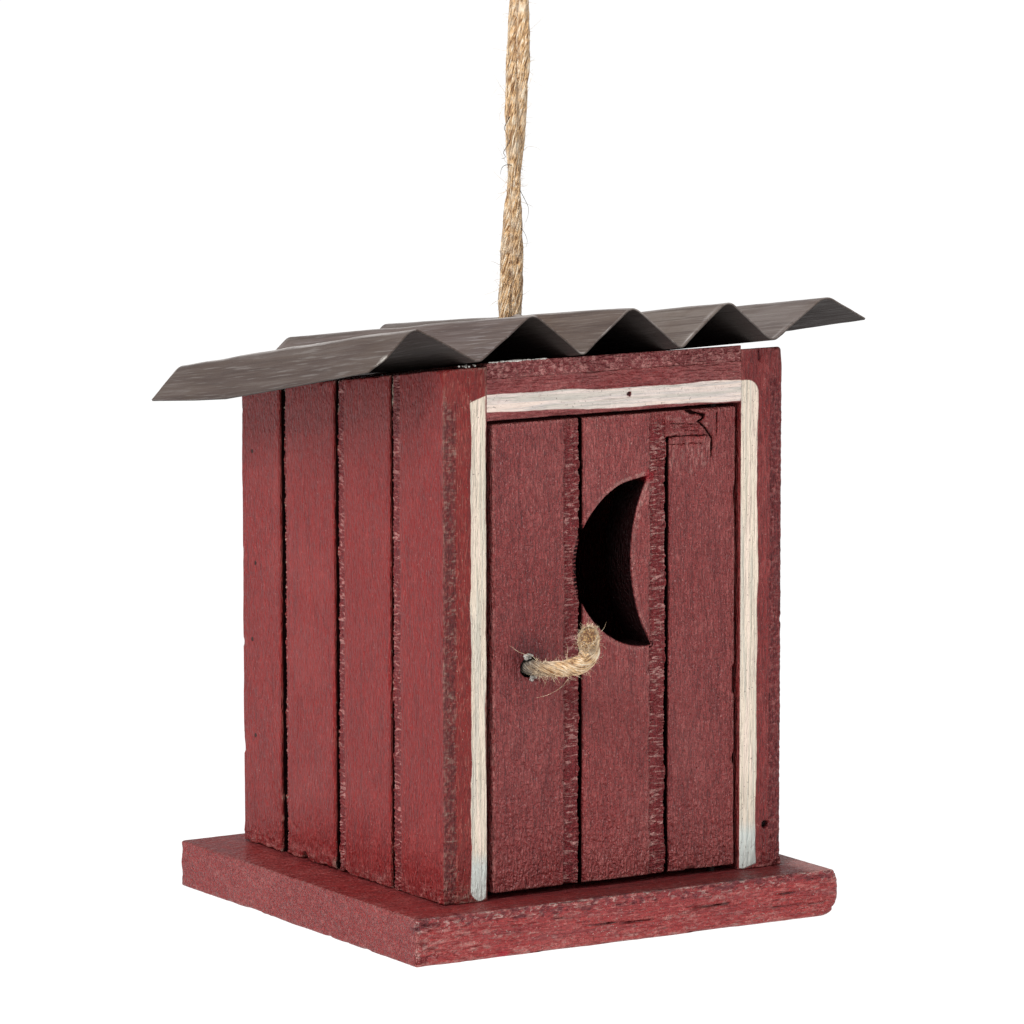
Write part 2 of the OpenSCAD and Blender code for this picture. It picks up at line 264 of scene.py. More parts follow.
# ---------------------------------------------------------------- node helpers
class Nodes:
    def __init__(self, name):
        self.mat = bpy.data.materials.new(name)
        self.mat.use_nodes = True
        self.t = self.mat.node_tree
        self.t.nodes.clear()
        self.out = self.t.nodes.new("ShaderNodeOutputMaterial")
        self.bsdf = self.t.nodes.new("ShaderNodeBsdfPrincipled")
        self.t.links.new(self.bsdf.outputs[0], self.out.inputs[0])
        tc = self.t.nodes.new("ShaderNodeTexCoord")
        self.obj = tc.outputs["Object"]
        self.nrm = tc.outputs["Normal"]

    def link(self, a, b):
        self.t.links.new(a, b)

    def put(self, value, socket):
        if isinstance(value, (int, float)):
            socket.default_value = value
        elif isinstance(value, (tuple, list)):
            socket.default_value = tuple(value) + ((1.0,) if len(value) == 3 and len(socket.default_value) == 4 else ())
        else:
            self.link(value, socket)

    def math(self, op, a, b=0.0, c=None, clamp=False):
        n = self.t.nodes.new("ShaderNodeMath")
        n.operation = op
        n.use_clamp = clamp
        self.put(a, n.inputs[0])
        self.put(b, n.inputs[1])
        if c is not None:
            self.put(c, n.inputs[2])
        return n.outputs[0]

    def split(self, v):
        n = self.t.nodes.new("ShaderNodeSeparateXYZ")
        self.link(v, n.inputs[0])
        return n.outputs

    def join(self, x, y, z):
        n = self.t.nodes.new("ShaderNodeCombineXYZ")
        for v, s in zip((x, y, z), n.inputs):
            self.put(v, s)
        return n.outputs[0]

    def map(self, v, scale=(1, 1, 1), loc=(0, 0, 0), rot=(0, 0, 0)):
        n = self.t.nodes.new("ShaderNodeMapping")
        self.link(v, n.inputs["Vector"])
        n.inputs["Scale"].default_value = scale
        n.inputs["Location"].default_value = loc
        n.inputs["Rotation"].default_value = rot
        return n.outputs[0]

    def noise(self, v, scale=1.0, detail=3.0, rough=0.55, distortion=0.0):
        n = self.t.nodes.new("ShaderNodeTexNoise")
        self.link(v, n.inputs["Vector"])
        n.inputs["Scale"].default_value = scale
        n.inputs["Detail"].default_value = detail
        n.inputs["Roughness"].default_value = rough
        n.inputs["Distortion"].default_value = distortion
        return n.outputs[0]

    def voronoi(self, v, scale=1.0, feature="F1", rand=1.0):
        n = self.t.nodes.new("ShaderNodeTexVoronoi")
        n.feature = feature
        self.link(v, n.inputs["Vector"])
        n.inputs["Scale"].default_value = scale
        n.inputs["Randomness"].default_value = rand
        return n.outputs["Distance"]

    def range(self, v, a, b, c=0.0, d=1.0, smooth=True):
        n = self.t.nodes.new("ShaderNodeMapRange")
        n.interpolation_type = "SMOOTHSTEP" if smooth else "LINEAR"
        self.put(v, n.inputs[0])
        for i, x in enumerate((a, b, c, d)):
            self.put(x, n.inputs[i + 1])
        return n.outputs[0]

    def mix(self, f, a, b, mode="MIX"):
        n = self.t.nodes.new("ShaderNodeMix")
        n.data_type = "RGBA"
        n.blend_type = mode
        n.clamp_factor = True
        self.put(f, n.inputs[0])
        self.put(a, n.inputs[6])
        self.put(b, n.inputs[7])
        return n.outputs[2]

    def mixf(self, f, a, b):
        n = self.t.nodes.new("ShaderNodeMix")
        n.data_type = "FLOAT"
        self.put(f, n.inputs[0])
        self.put(a, n.inputs[2])
        self.put(b, n.inputs[3])
        return n.outputs[0]

    def attr(self, name):
        n = self.t.nodes.new("ShaderNodeAttribute")
        n.attribute_name = name
        return n.outputs["Fac"]

    def bump(self, height, distance, strength=1.0, normal=None):
        n = self.t.nodes.new("ShaderNodeBump")
        n.inputs["Strength"].default_value = strength
        n.inputs["Distance"].default_value = distance
        self.link(height, n.inputs["Height"])
        if normal is not None:
            self.link(normal, n.inputs["Normal"])
        return n.outputs[0]

    def done(self, color, rough, normal=None, metal=0.0, spec=0.5):
        self.put(color, self.bsdf.inputs["Base Color"])
        self.put(rough, self.bsdf.inputs["Roughness"])
        self.put(metal, self.bsdf.inputs["Metallic"])
        self.bsdf.inputs["Specular IOR Level"].default_value = spec
        if normal is not None:
            self.link(normal, self.bsdf.inputs["Normal"])
        return self.mat


# ---------------------------------------------------------------- materials
RED = (0.180, 0.0325, 0.0315)
RED_LIGHT = (0.315, 0.098, 0.090)
RED_DARK = (0.085, 0.0095, 0.0115)
RED_DEEP_SHADE = (0.014, 0.0022, 0.0026)
PALE_WEAR_AND_GLINT = (0.43, 0.185, 0.165)
WHITE = (0.70, 0.60, 0.485)


def red_paint(name, grain="z", seed=0.0, stripe=None, tone=1.0, gloss=0.32, relief=1.0, sawn=0.0, deep=1.0, bandtex=(330, 330, 1350),
              pit=(0.135, 0.0080, 0.0125), pebbly=0.38, finer=1.0, front=None, top=None, fleck=0.665, pale=None, foot_shade_and_chalk=False):
    """Barn-red paint on sawn wood. cav is how deep a point lies and darkens the colour there as painted shade, kerf
    marks the saw cuts and paints them near black as painted shade, a third attribute says how exposed an edge is and
    lightens it as wear and as painted highlight, band where the saw left the wood rough. stripe adds the white border
    painted by hand round the door."""
    n = Nodes(name)
    p = n.map(n.obj, loc=(seed * 0.037, seed * 0.011, seed * 0.023))
    # grain runs along one axis: fine across it, long along it
    fine = {"z": (1500, 1500, 290), "x": (290, 1500, 1500), "y": (1500, 290, 1500)}[grain]
    fine = tuple(c * finer for c in fine)
    mid = {"z": (620, 620, 55), "x": (55, 620, 620), "y": (620, 55, 620)}[grain]
    g_fine = n.noise(n.map(p, scale=fine), 1.0, 1, 0.5, 0.7)
    g_mid = n.noise(n.map(p, scale=mid), 1.0, 2, 0.5, 0.3)
    pebble = n.noise(p, 1050, 1, 0.5, 0.6)
    speck = n.noise(p, 1500, 2, 0.7)
    blotch = n.noise(p, 38, 4, 0.6)
    cav, wear_and_highlight, band, kerf = n.attr("cav"), n.attr("wear_and_highlight"), n.attr("band"), n.attr("kerf")
    h = n.math("ADD", n.math("MULTIPLY", g_fine, 0.84 - pebbly), n.math("MULTIPLY", pebble, pebbly))
    h = n.math("ADD", h, n.math("MULTIPLY", g_mid, 0.16))
    base = (RED[0] * tone, RED[1] * tone * deep, RED[2] * tone * deep)
    light = (RED_LIGHT[0] * tone, RED_LIGHT[1] * tone * (0.5 + 0.5 * deep), RED_LIGHT[2] * tone * (0.5 + 0.5 * deep))
    dark = tuple(c * tone for c in RED_DARK)
    # colour follows the fine relief: lighter on its ridges as painted highlight, darker in its hollows as painted
    # shade, over the paint's own mottling
    col = n.mix(n.math("MULTIPLY", n.range(h, 0.51, 0.63), 0.36), base, light)
    col = n.mix(n.math("MULTIPLY", n.range(h, 0.49, 0.38), 0.32), col, dark)
    col = n.mix(n.math("MULTIPLY", n.range(blotch, 0.50, 0.68), 0.16), col, light)
    col = n.mix(n.math("MULTIPLY", n.range(blotch, 0.48, 0.34), 0.30), col, (0.150 * tone, 0.0125, 0.0125))
    col = n.mix(n.math("MULTIPLY", n.range(g_mid, 0.46, 0.36), 0.25), col, dark)
    col = n.mix(n.math("MULTIPLY", n.range(speck, 0.35, 0.27), 0.6), col, dark)
    # light flecks: painted glints on the paint's texture
    col = n.mix(n.math("MULTIPLY", n.range(speck, fleck, fleck + 0.065), 0.85), col, PALE_WEAR_AND_GLINT)
    # rough sawn bands: saturated and dark in the pits, pale and dry on the ridges: the paint's own colour, with painted
    # shade in the pits and painted highlight on the ridges
    crumb = n.noise(n.map(p, scale=bandtex), 1.0, 2, 0.55, 0.9)
    col = n.mix(n.math("MULTIPLY", n.math("MULTIPLY", n.range(crumb, 0.60, 0.46), band), 0.90, clamp=True), col, pit)
    col = n.mix(n.math("MULTIPLY", n.math("MULTIPLY", n.range(crumb, 0.55, 0.63), band), 0.85, clamp=True), col, (0.50, 0.235, 0.215))
    # worn edges and ridges, lightened both as wear and as painted highlight
    wear_and_glint = n.math("MULTIPLY", wear_and_highlight, n.range(n.noise(p, 700, 3, 0.7), 0.36, 0.60), clamp=True)
    col = n.mix(n.math("MULTIPLY", wear_and_glint, 0.72), col, PALE_WEAR_AND_GLINT)
    # painted shade: hollows darkened, and the saw cuts painted near black
    col = n.mix(n.range(cav, 0.05, 0.75), col, dark)
    col = n.mix(n.range(cav, 0.7, 1.0), col, RED_DEEP_SHADE)
    col = n.mix(n.range(kerf, 0.06, 0.34), col, (0.0065, 0.0008, 0.0010))
    col = n.mix(n.attr("fresh"), col, (0.30, 0.007, 0.014))
    # painted light: faces that look forward or up get their own tint, for how the light falls on them
    facing = n.split(n.nrm)
    if front:
        col = n.mix(n.range(facing[1], -0.35, -0.7), col, n.mix(1.0, col, front, "MULTIPLY"))
    if pale:
        px = n.split(n.obj)[0]
        lit = n.math("MULTIPLY", n.range(px, pale[0] - 0.0006, pale[0] + 0.0006), n.range(px, pale[1] + 0.0006, pale[1] - 0.0006))
        col = n.mix(lit, col, n.mix(1.0, col, pale[2], "MULTIPLY"))
    if top:
        on_top = n.range(facing[2], 0.35, 0.7)
        col = n.mix(on_top, col, n.mix(1.0, col, top, "MULTIPLY"))
        if foot_shade_and_chalk:
            # painted shade on the top just in front of the door's foot, and a chalky right end
            bx, by, _z = n.split(n.obj)
            before = n.math("MULTIPLY", n.range(by, -0.049, -0.053), n.range(bx, -0.055, 0.005))
            col = n.mix(n.math("MULTIPLY", on_top, before), col, n.mix(1.0, col, (0.60, 0.62, 0.60), "MULTIPLY"))
            chalk = n.math("MULTIPLY", on_top, n.range(n.math("ADD", bx, n.math("MULTIPLY", n.math("SUBTRACT", n.noise(p, 160, 3, 0.6), 0.5), 0.008)), 0.049, 0.057))
            col = n.mix(n.math("MULTIPLY", chalk, 0.75), col, (0.50, 0.23, 0.21))
    rough = n.mixf(n.range(h, 0.42, 0.60), 0.34, 0.46)
    height = n.math("ADD", h, n.math("MULTIPLY", n.math("MULTIPLY", crumb, band), 0.40))
    if sawn:
        # sawn pores: pits in the relief, darkened as painted shade
        dots = n.voronoi(n.map(p, scale=(750, 750, 750)), 1.0)
        height = n.math("ADD", height, n.math("MULTIPLY", n.range(dots, 0.10, 0.45), 0.12 * sawn))
        col = n.mix(n.math("MULTIPLY", n.range(dots, 0.20, 0.08), 0.6 * sawn), col, (0.045, 0.006, 0.007))
    nrm = n.bump(height, 0.0031 * relief, 1.0)
    if stripe:
        x, y, z = n.split(n.obj)
        nx, ny, nz = n.split(n.nrm)
        x = n.math("MULTIPLY", x, 1000.0)
        y = n.math("MULTIPLY", y, 1000.0)
        z = n.math("MULTIPLY", z, 1000.0)

        def wobble(axis, k, off, amp):
            a = n.noise(n.join(n.math("MULTIPLY", axis, k), off, seed), 1.0, 2, 0.5)
            b = n.noise(n.join(n.math("MULTIPLY", axis, k * 6.5), off + 3.0, seed), 1.0, 2, 0.5)
            a = n.math("MULTIPLY", n.math("SUBTRACT", a, 0.5), amp)
            return n.math("ADD", a, n.math("MULTIPLY", n.math("SUBTRACT", b, 0.5), amp * 0.20))

        def band_of(v, lo, hi, w1, w2, soft=0.13):
            a = n.range(n.math("SUBTRACT", v, n.math("ADD", w1, lo)), -soft, soft)
            b = n.range(n.math("SUBTRACT", v, n.math("ADD", w2, hi)), soft, -soft)
            return n.math("MULTIPLY", a, b)
        masks = []
        if "left" in stripe:
            v = band_of(x, -42.15, -37.75, wobble(z, 0.05, 3.1, 2.0), wobble(z, 0.045, 8.1, 2.2))
            v = n.math("MULTIPLY", v, n.range(n.math("SUBTRACT", z, n.math("ADD", 138.5, n.math("MULTIPLY", n.math("ADD", x, 37.5), 0.32))), 0.15, -0.15))
            v = n.math("MULTIPLY", v, n.range(n.math("SUBTRACT", z, n.math("ADD", 12.2, n.math("MULTIPLY", n.math("POWER", n.math("ABSOLUTE", n.math("ADD", x, 39.6)), 2.0), 0.30))), -0.2, 0.2))
            masks.append(v)
        if "right" in stripe:
            v = band_of(x, 37.1, 42.6, 0.0, wobble(z, 0.05, 5.7, 1.8))
            # the outer corner is rounded
            cx, cz = n.math("SUBTRACT", x, 39.2), n.math("SUBTRACT", z, 134.1)
            dist = n.math("SQRT", n.math("ADD", n.math("MULTIPLY", cx, cx), n.math("MULTIPLY", cz, cz)))
            in_q = n.math("MULTIPLY", n.math("GREATER_THAN", cx, 0.0), n.math("GREATER_THAN", cz, 0.0))
            corner_ok = n.math("SUBTRACT", 1.0, n.math("MULTIPLY", in_q, n.range(dist, 3.35, 3.65)))
            v = n.math("MULTIPLY", v, corner_ok)
            v = n.math("MULTIPLY", v, n.range(n.math("SUBTRACT", z, 137.6), 0.15, -0.15))
            v = n.math("MULTIPLY", v, n.range(n.math("SUBTRACT", z, n.math("ADD", 12.2, n.math("MULTIPLY", n.math("ABSOLUTE", n.math("SUBTRACT", x, 38.6)), 0.28))), -0.2, 0.2))
            masks.append(v)
        if "top" in stripe:
            hi = n.math("ADD", 138.1, n.math("MULTIPLY", x, -0.011))
            lo = n.math("ADD", 133.1, n.math("MULTIPLY", x, -0.022))
            masks.append(n.math("MULTIPLY",
                                n.range(n.math("SUBTRACT", z, n.math("ADD", lo, wobble(x, 0.045, 5.3, 1.5))), -0.13, 0.13),
                                n.range(n.math("SUBTRACT", z, n.math("ADD", hi, wobble(x, 0.05, 9.3, 1.5))), 0.13, -0.13)))
        mask = masks[0]
        for k in masks[1:]:
            mask = n.math("MAXIMUM", mask, k)
        # only on faces that look forward
        mask = n.math("MULTIPLY", mask, n.range(ny, -0.35, -0.7))
        mask = n.math("MULTIPLY", mask, n.range(y, -49.4, -50.2))
        across = (60, 160, 1500) if "top" in stripe else (1500, 160, 45)
        streak = n.noise(n.map(p, scale=across), 1.0, 2, 0.5, 0.3)
        streak2 = n.noise(n.map(p, scale=tuple(c * 0.6 for c in across), loc=(4, 2, 1)), 1.0, 2, 0.5, 0.3)
        cool = 1.0 if "top" in stripe else 0.0
        wcol = n.mix(n.math("MULTIPLY", n.range(streak, 0.50, 0.60), 0.75), (0.80, 0.68, 0.55 + 0.07 * cool), (0.60, 0.545, 0.44 + 0.07 * cool))
        wcol = n.mix(n.math("MULTIPLY", n.range(streak2, 0.52, 0.62), 0.65), wcol, (0.92, 0.74, 0.63))
        wcol = n.mix(n.math("MULTIPLY", n.range(streak2, 0.47, 0.37), 0.6), wcol, (0.56, 0.53, 0.46))
        wcol = n.mix(n.math("MULTIPLY", n.range(streak, 0.38, 0.32), 0.5), wcol, (0.42, 0.36, 0.30))
        # colder and thinner at the feet
        foot = n.range(z, 25.5, 20.5)
        wcol = n.mix(n.math("MULTIPLY", foot, 0.72), wcol, (0.60, 0.68, 0.66))
        wcol = n.mix(n.math("MULTIPLY", n.range(speck, 0.35, 0.28), 0.8), wcol, (0.16, 0.10, 0.08))
        # paint thins towards its edge
        soft = n.math("MULTIPLY", n.range(n.noise(p, 320, 4, 0.7), 0.60, 0.72), 0.5)
        halo = n.range(mask, 0.15, 0.85)
        wcol = n.mix(n.math("MULTIPLY", n.math("SUBTRACT", 1.0, halo), 0.6), wcol, (0.62, 0.34, 0.28))
        mask = n.math("MULTIPLY", mask, n.math("SUBTRACT", 1.0, n.math("MULTIPLY", soft, 0.35)))
        mask = n.math("MULTIPLY", mask, n.math("SUBTRACT", 1.0, n.range(cav, 0.25, 0.6)))
        col = n.mix(mask, col, wcol)
        rough = n.mixf(mask, rough, 0.5)
        smoother = n.bump(n.math("ADD", n.math("MULTIPLY", h, 0.9), n.math("ADD", n.math("MULTIPLY", mask, 0.4), n.math("MULTIPLY", streak, 0.9))), 0.0008, 1.0)
        nrm = n.mix(mask, nrm, smoother)
    # slivers of bare wood where the paint never reached
    bare = n.attr("bare")
    col = n.mix(bare, col, (0.40, 0.37, 0.30))
    mat = n.done(col, rough, nrm, spec=gloss)
    n.link(n.mixf(n.range(kerf, 0.05, 0.3), gloss, 0.02), n.bsdf.inputs["Specular IOR Level"])
    return mat


def roof_metal():
    n = Nodes("roof_metal")
    p = n.map(n.map(n.obj, rot=(math.radians(8.4), 0, 0)), rot=(0, 0, math.radians(2.4)))
    streak = n.noise(n.map(p, scale=(1000, 28, 1000)), 1.0, 3, 0.6, 0.1)
    streak2 = n.noise(n.map(p, scale=(1700, 55, 1700), loc=(3, 1, 2)), 1.0, 2, 0.55)
    broad = n.noise(n.map(p, scale=(260, 13, 260), loc=(1, 5, 2)), 1.0, 2, 0.6, 0.2)
    blotch = n.noise(p, 42, 4, 0.62)
    speck = n.noise(p, 1300, 3, 0.7)
    wear_and_highlight, cav = n.attr("wear_and_highlight"), n.attr("cav")
    xo = n.split(n.obj)[0]
    # lighter and greyer towards the right: painted sheen for how those folds face the light, over a browner patina on
    # the left
    to_right = n.range(xo, -0.045, 0.045)
    lo_c = n.mix(to_right, (0.092, 0.060, 0.049), (0.142, 0.110, 0.100))
    hi_c = n.mix(to_right, (0.124, 0.088, 0.072), (0.205, 0.170, 0.156))
    col = n.mix(n.range(broad, 0.38, 0.62), lo_c, hi_c)
    col = n.mix(n.math("MULTIPLY", n.range(streak, 0.51, 0.62), 0.35), col, (0.195, 0.162, 0.146))
    col = n.mix(n.math("MULTIPLY", n.range(streak, 0.48, 0.38), 0.40), col, (0.056, 0.036, 0.029))
    col = n.mix(n.math("MULTIPLY", n.range(blotch, 0.46, 0.66), 0.45), col, (0.112, 0.076, 0.056))
    col = n.mix(n.math("MULTIPLY", n.range(streak2, 0.58, 0.66), 0.5), col, (0.27, 0.235, 0.215))
    col = n.mix(n.math("MULTIPLY", n.range(speck, 0.36, 0.28), 0.6), col, (0.022, 0.014, 0.012))
    # each fold gets its own tint: the patina's own variation, and painted light and sheen for how that fold faces the
    # light
    for x0, x1, tint in ((-0.0440, -0.0250, (1.32, 1.33, 1.40)), (-0.0145, 0.0035, (0.94, 0.88, 0.83)), (0.0145, 0.0310, (1.14, 1.11, 1.05)), (0.0425, 0.0600, (1.10, 1.07, 1.05))):
        lit = n.math("MULTIPLY", n.range(xo, x0 - 0.001, x0 + 0.001), n.range(xo, x1 + 0.001, x1 - 0.001))
        col = n.mix(lit, col, n.mix(1.0, col, tint, "MULTIPLY"))
    # crests and cut edges paler: painted highlight on the crests, wear and painted highlight on the edges
    col = n.mix(n.math("MULTIPLY", wear_and_highlight, n.range(n.noise(p, 420, 3, 0.7), 0.22, 0.45)), col, (0.62, 0.57, 0.54))
    col = n.mix(n.attr("chip"), col, n.mix(n.range(speck, 0.42, 0.5), (0.10, 0.06, 0.05), (0.72, 0.68, 0.62)))
    # painted shade: undersides and the rim of the rope hole near black
    col = n.mix(cav, col, (0.010, 0.007, 0.006))
    rough = n.math("ADD", n.mixf(n.range(streak2, 0.4, 0.65), 0.52, 0.40), n.math("MULTIPLY", cav, 0.3))
    h = n.math("ADD", n.math("MULTIPLY", streak2, 0.6), n.math("MULTIPLY", speck, 0.3))
    h = n.math("ADD", h, n.math("MULTIPLY", streak, 0.5))
    metal = n.mixf(cav, 0.35, 0.0)
    return n.done(col, rough, n.bump(h, 0.00028, 1.0), metal=metal, spec=0.4)


def jute_mat(name, tint=1.0):
    n = Nodes(name)
    p = n.obj
    along, ply, door_shadow = n.attr("along"), n.attr("ply"), n.attr("door_shadow")
    fib = n.noise(n.join(n.math("MULTIPLY", n.attr("around"), 24.0), n.math("MULTIPLY", along, 0.34), 0.0), 1.0, 3, 0.6, 0.5)
    blotch = n.noise(p, 230, 3, 0.6)
    # colour follows the fibres' relief: dark brown between them as painted shade, near white on the raised ones as
    # painted highlight, over the fibres' own colour
    col = n.mix(n.range(fib, 0.40, 0.50), (0.25, 0.115, 0.042), (0.80, 0.515, 0.265))
    col = n.mix(n.math("MULTIPLY", n.range(fib, 0.53, 0.62), 0.9), col, (1.0, 0.87, 0.68))
    col = n.mix(n.math("MULTIPLY", n.range(blotch, 0.48, 0.68), 0.45), col, (0.92, 0.78, 0.60))
    col = n.mix(n.math("MULTIPLY", n.range(blotch, 0.44, 0.30), 0.5), col, (0.40, 0.23, 0.12))
    # painted shade in the grooves between the plies
    col = n.mix(n.math("MULTIPLY", n.range(ply, 0.35, 1.0), 0.6), col, (0.20, 0.095, 0.040))
    # painted shadow on the pull where it leaves the door
    col = n.mix(n.math("MULTIPLY", door_shadow, 0.9), col, n.mix(n.range(fib, 0.42, 0.6), (0.020, 0.015, 0.012), (0.24, 0.20, 0.155)))
    col = n.mix(n.attr("core"), col, n.mix(n.range(n.noise(p, 1500, 2, 0.6), 0.44, 0.58), (0.34, 0.125, 0.03), (1.0, 0.60, 0.24)))
    h = n.math("ADD", fib, n.math("MULTIPLY", n.noise(p, 1500, 2, 0.6), 0.35))
    mat = n.done(col, 0.86, n.bump(h, 0.0010, 1.0), spec=0.22)
    n.bsdf.inputs["Sheen Weight"].default_value = 0.2
    n.bsdf.inputs["Sheen Roughness"].default_value = 0.5
    return mat


def plain_noise_mat(name, a, b, rough, scale, metal=0.0, bump=0.0001, spec=0.5):
    n = Nodes(name)
    k = n.noise(n.obj, scale, 4, 0.65)
    k2 = n.noise(n.obj, scale * 4, 3, 0.6)
    col = n.mix(n.range(n.math("ADD", n.math("MULTIPLY", k, 0.6), n.math("MULTIPLY", k2, 0.4)), 0.38, 0.62), a, b)
    return n.done(col, n.mixf(k, rough - 0.08, rough + 0.1), n.bump(k2, bump, 0.7), metal=metal, spec=spec)


M_WALL_L = red_paint("paint_left_wall", "z", 1.0, stripe=("left",), tone=1.26, gloss=0.26, relief=0.50, deep=0.22, pebbly=0.16, finer=1.55, front=(1.00, 1.95, 1.72))
M_WALL_R = red_paint("paint_right_wall", "z", 2.0, stripe=("right",), tone=1.16, gloss=0.32, relief=0.8, deep=0.6, pebbly=0.2)
M_HEADER = red_paint("paint_header", "x", 3.0, stripe=("top",), gloss=0.36, relief=0.9, tone=1.55, deep=1.20, bandtex=(900, 900, 900), pebbly=0.25)
M_DECK = red_paint("paint_deck", "x", 4.0, relief=0.9, tone=1.97, deep=1.55, bandtex=(850, 850, 1000), pit=(0.15, 0.015, 0.018))
M_BACK = red_paint("paint_back_wall", "z", 5.0, tone=1.12, deep=0.5, pebbly=0.2)
M_DOOR = red_paint("paint_door", "z", 6.0, gloss=0.38, relief=1.15, tone=1.335, deep=0.86, pit=(0.19, 0.0140, 0.0180), pebbly=0.34, finer=1.12, pale=(-0.0088, 0.0128, (1.12, 1.24, 1.22)))
M_BASE = red_paint("paint_base", "x", 7.0, gloss=0.34, relief=0.75, sawn=0.4, tone=1.41, deep=0.36, bandtex=(500, 900, 1000), pit=(0.16, 0.0130, 0.0160), pebbly=0.25, front=(1.36, 2.42, 2.36), top=(0.86, 1.12, 1.12), foot_shade_and_chalk=True)
M_ROOF = roof_metal()
M_JUTE = jute_mat("jute")
M_FUZZ = plain_noise_mat("jute_fibre", (0.40, 0.26, 0.14), (0.90, 0.76, 0.56), 0.8, 500, spec=0.2)
M_GLUE = plain_noise_mat("hot_glue", (0.50, 0.48, 0.44), (0.74, 0.72, 0.67), 0.40, 900)
M_HAIR = plain_noise_mat("jute_dark_fibre", (0.030, 0.024, 0.020), (0.16, 0.12, 0.09), 0.8, 500, spec=0.2)
M_GLUE_D = plain_noise_mat("pull_glue", (0.13, 0.115, 0.10), (0.52, 0.49, 0.45), 0.45, 900)
M_BRAD = plain_noise_mat("brad_steel", (0.010, 0.006, 0.006), (0.030, 0.018, 0.016), 0.6, 900, metal=0.3, spec=0.3)
M_NAIL = plain_noise_mat("nail_steel", (0.10, 0.085, 0.075), (0.24, 0.22, 0.21), 0.42, 700, metal=0.85)

# ---------------------------------------------------------------- sizes, as in the CAD model (mm)
HW, HD, IW, WALL_T = 50.0, 51.0, 37.5, 12.5
BASE_T, TOP_F = 12.0, 145.5
FALL = math.tan(math.radians(8.4))
HEAD_Z = 132.0
DX0, DX1, DY0, DY1, DZ0, DZ1 = -35.5, 36.1, -50.5, -38.5, 13.6, 131.0
HOLE = (4.0, 6.0)
PULL = (-25.0, 69.7)
DOOR_CUTS = [(-9.8, 4.4, 1.1), (15.8, 4.7, 1.1)]
WALL_CUTS = [(29.8, 0.9, 2.6), (2.1, 3.0, 2.1), (-25.5, 3.6, 1.4)]
KERF_D, BAND_D = 2.8, 0.5


def top_z(y):
    return TOP_F - (y + HD) * FALL


# ---------------------------------------------------------------- twine
LEAN, Z0T, Z1T, LEG_R, PITCH = 0.036, 138.0, 232.0, 1.38, 112.0


def axis_x(z):
    return HOLE[0] + (z - 150) * LEAN


def leg(z, side):
    a = math.pi * side - math.pi / 2 + (Z1T - z) * 2 * math.pi / PITCH
    return (axis_x(z) + LEG_R * math.cos(a), HOLE[1] + LEG_R * math.sin(a), z)


def catmull(pts, per=8):
    pts = [np.array(p, float) for p in pts]
    out = []
    for i in range(len(pts) - 1):
        p0 = pts[max(i - 1, 0)]
        p1, p2 = pts[i], pts[i + 1]
        p3 = pts[min(i + 2, len(pts) - 1)]
        for k in range(per):
            t = k / per
            out.append(0.5 * ((2 * p1) + (-p0 + p2) * t + (2 * p0 - 5 * p1 + 4 * p2 - p3) * t * t + (-p0 + 3 * p1 - 3 * p2 + p3) * t ** 3))
    out.append(pts[-1])
    return np.array(out)


def resample(line, step):
    d = np.concatenate([[0], np.cumsum(np.linalg.norm(np.diff(line, axis=0), axis=1))])
    n = max(2, int(round(d[-1] / step)) + 1)
    s = np.linspace(0, d[-1], n)
    return np.stack([np.interp(s, d, line[:, k]) for k in range(3)], 1), s


def frames_along(line):
    """Rotation-minimising frames."""
    t = np.gradient(line, axis=0)
    t /= np.linalg.norm(t, axis=1, keepdims=True)
    u = np.zeros_like(t)
    ref = np.array([0.3, 0.9, 0.1]) if abs(t[0] @ np.array([0.3, 0.9, 0.1])) < 0.9 else np.array([1.0, 0, 0])
    u[0] = np.cross(t[0], ref)
    u[0] /= np.linalg.norm(u[0])
    for i in range(1, len(t)):
        v = u[i - 1] - t[i] * (u[i - 1] @ t[i])
        u[i] = v / np.linalg.norm(v)
    return t, u, np.cross(t, u)


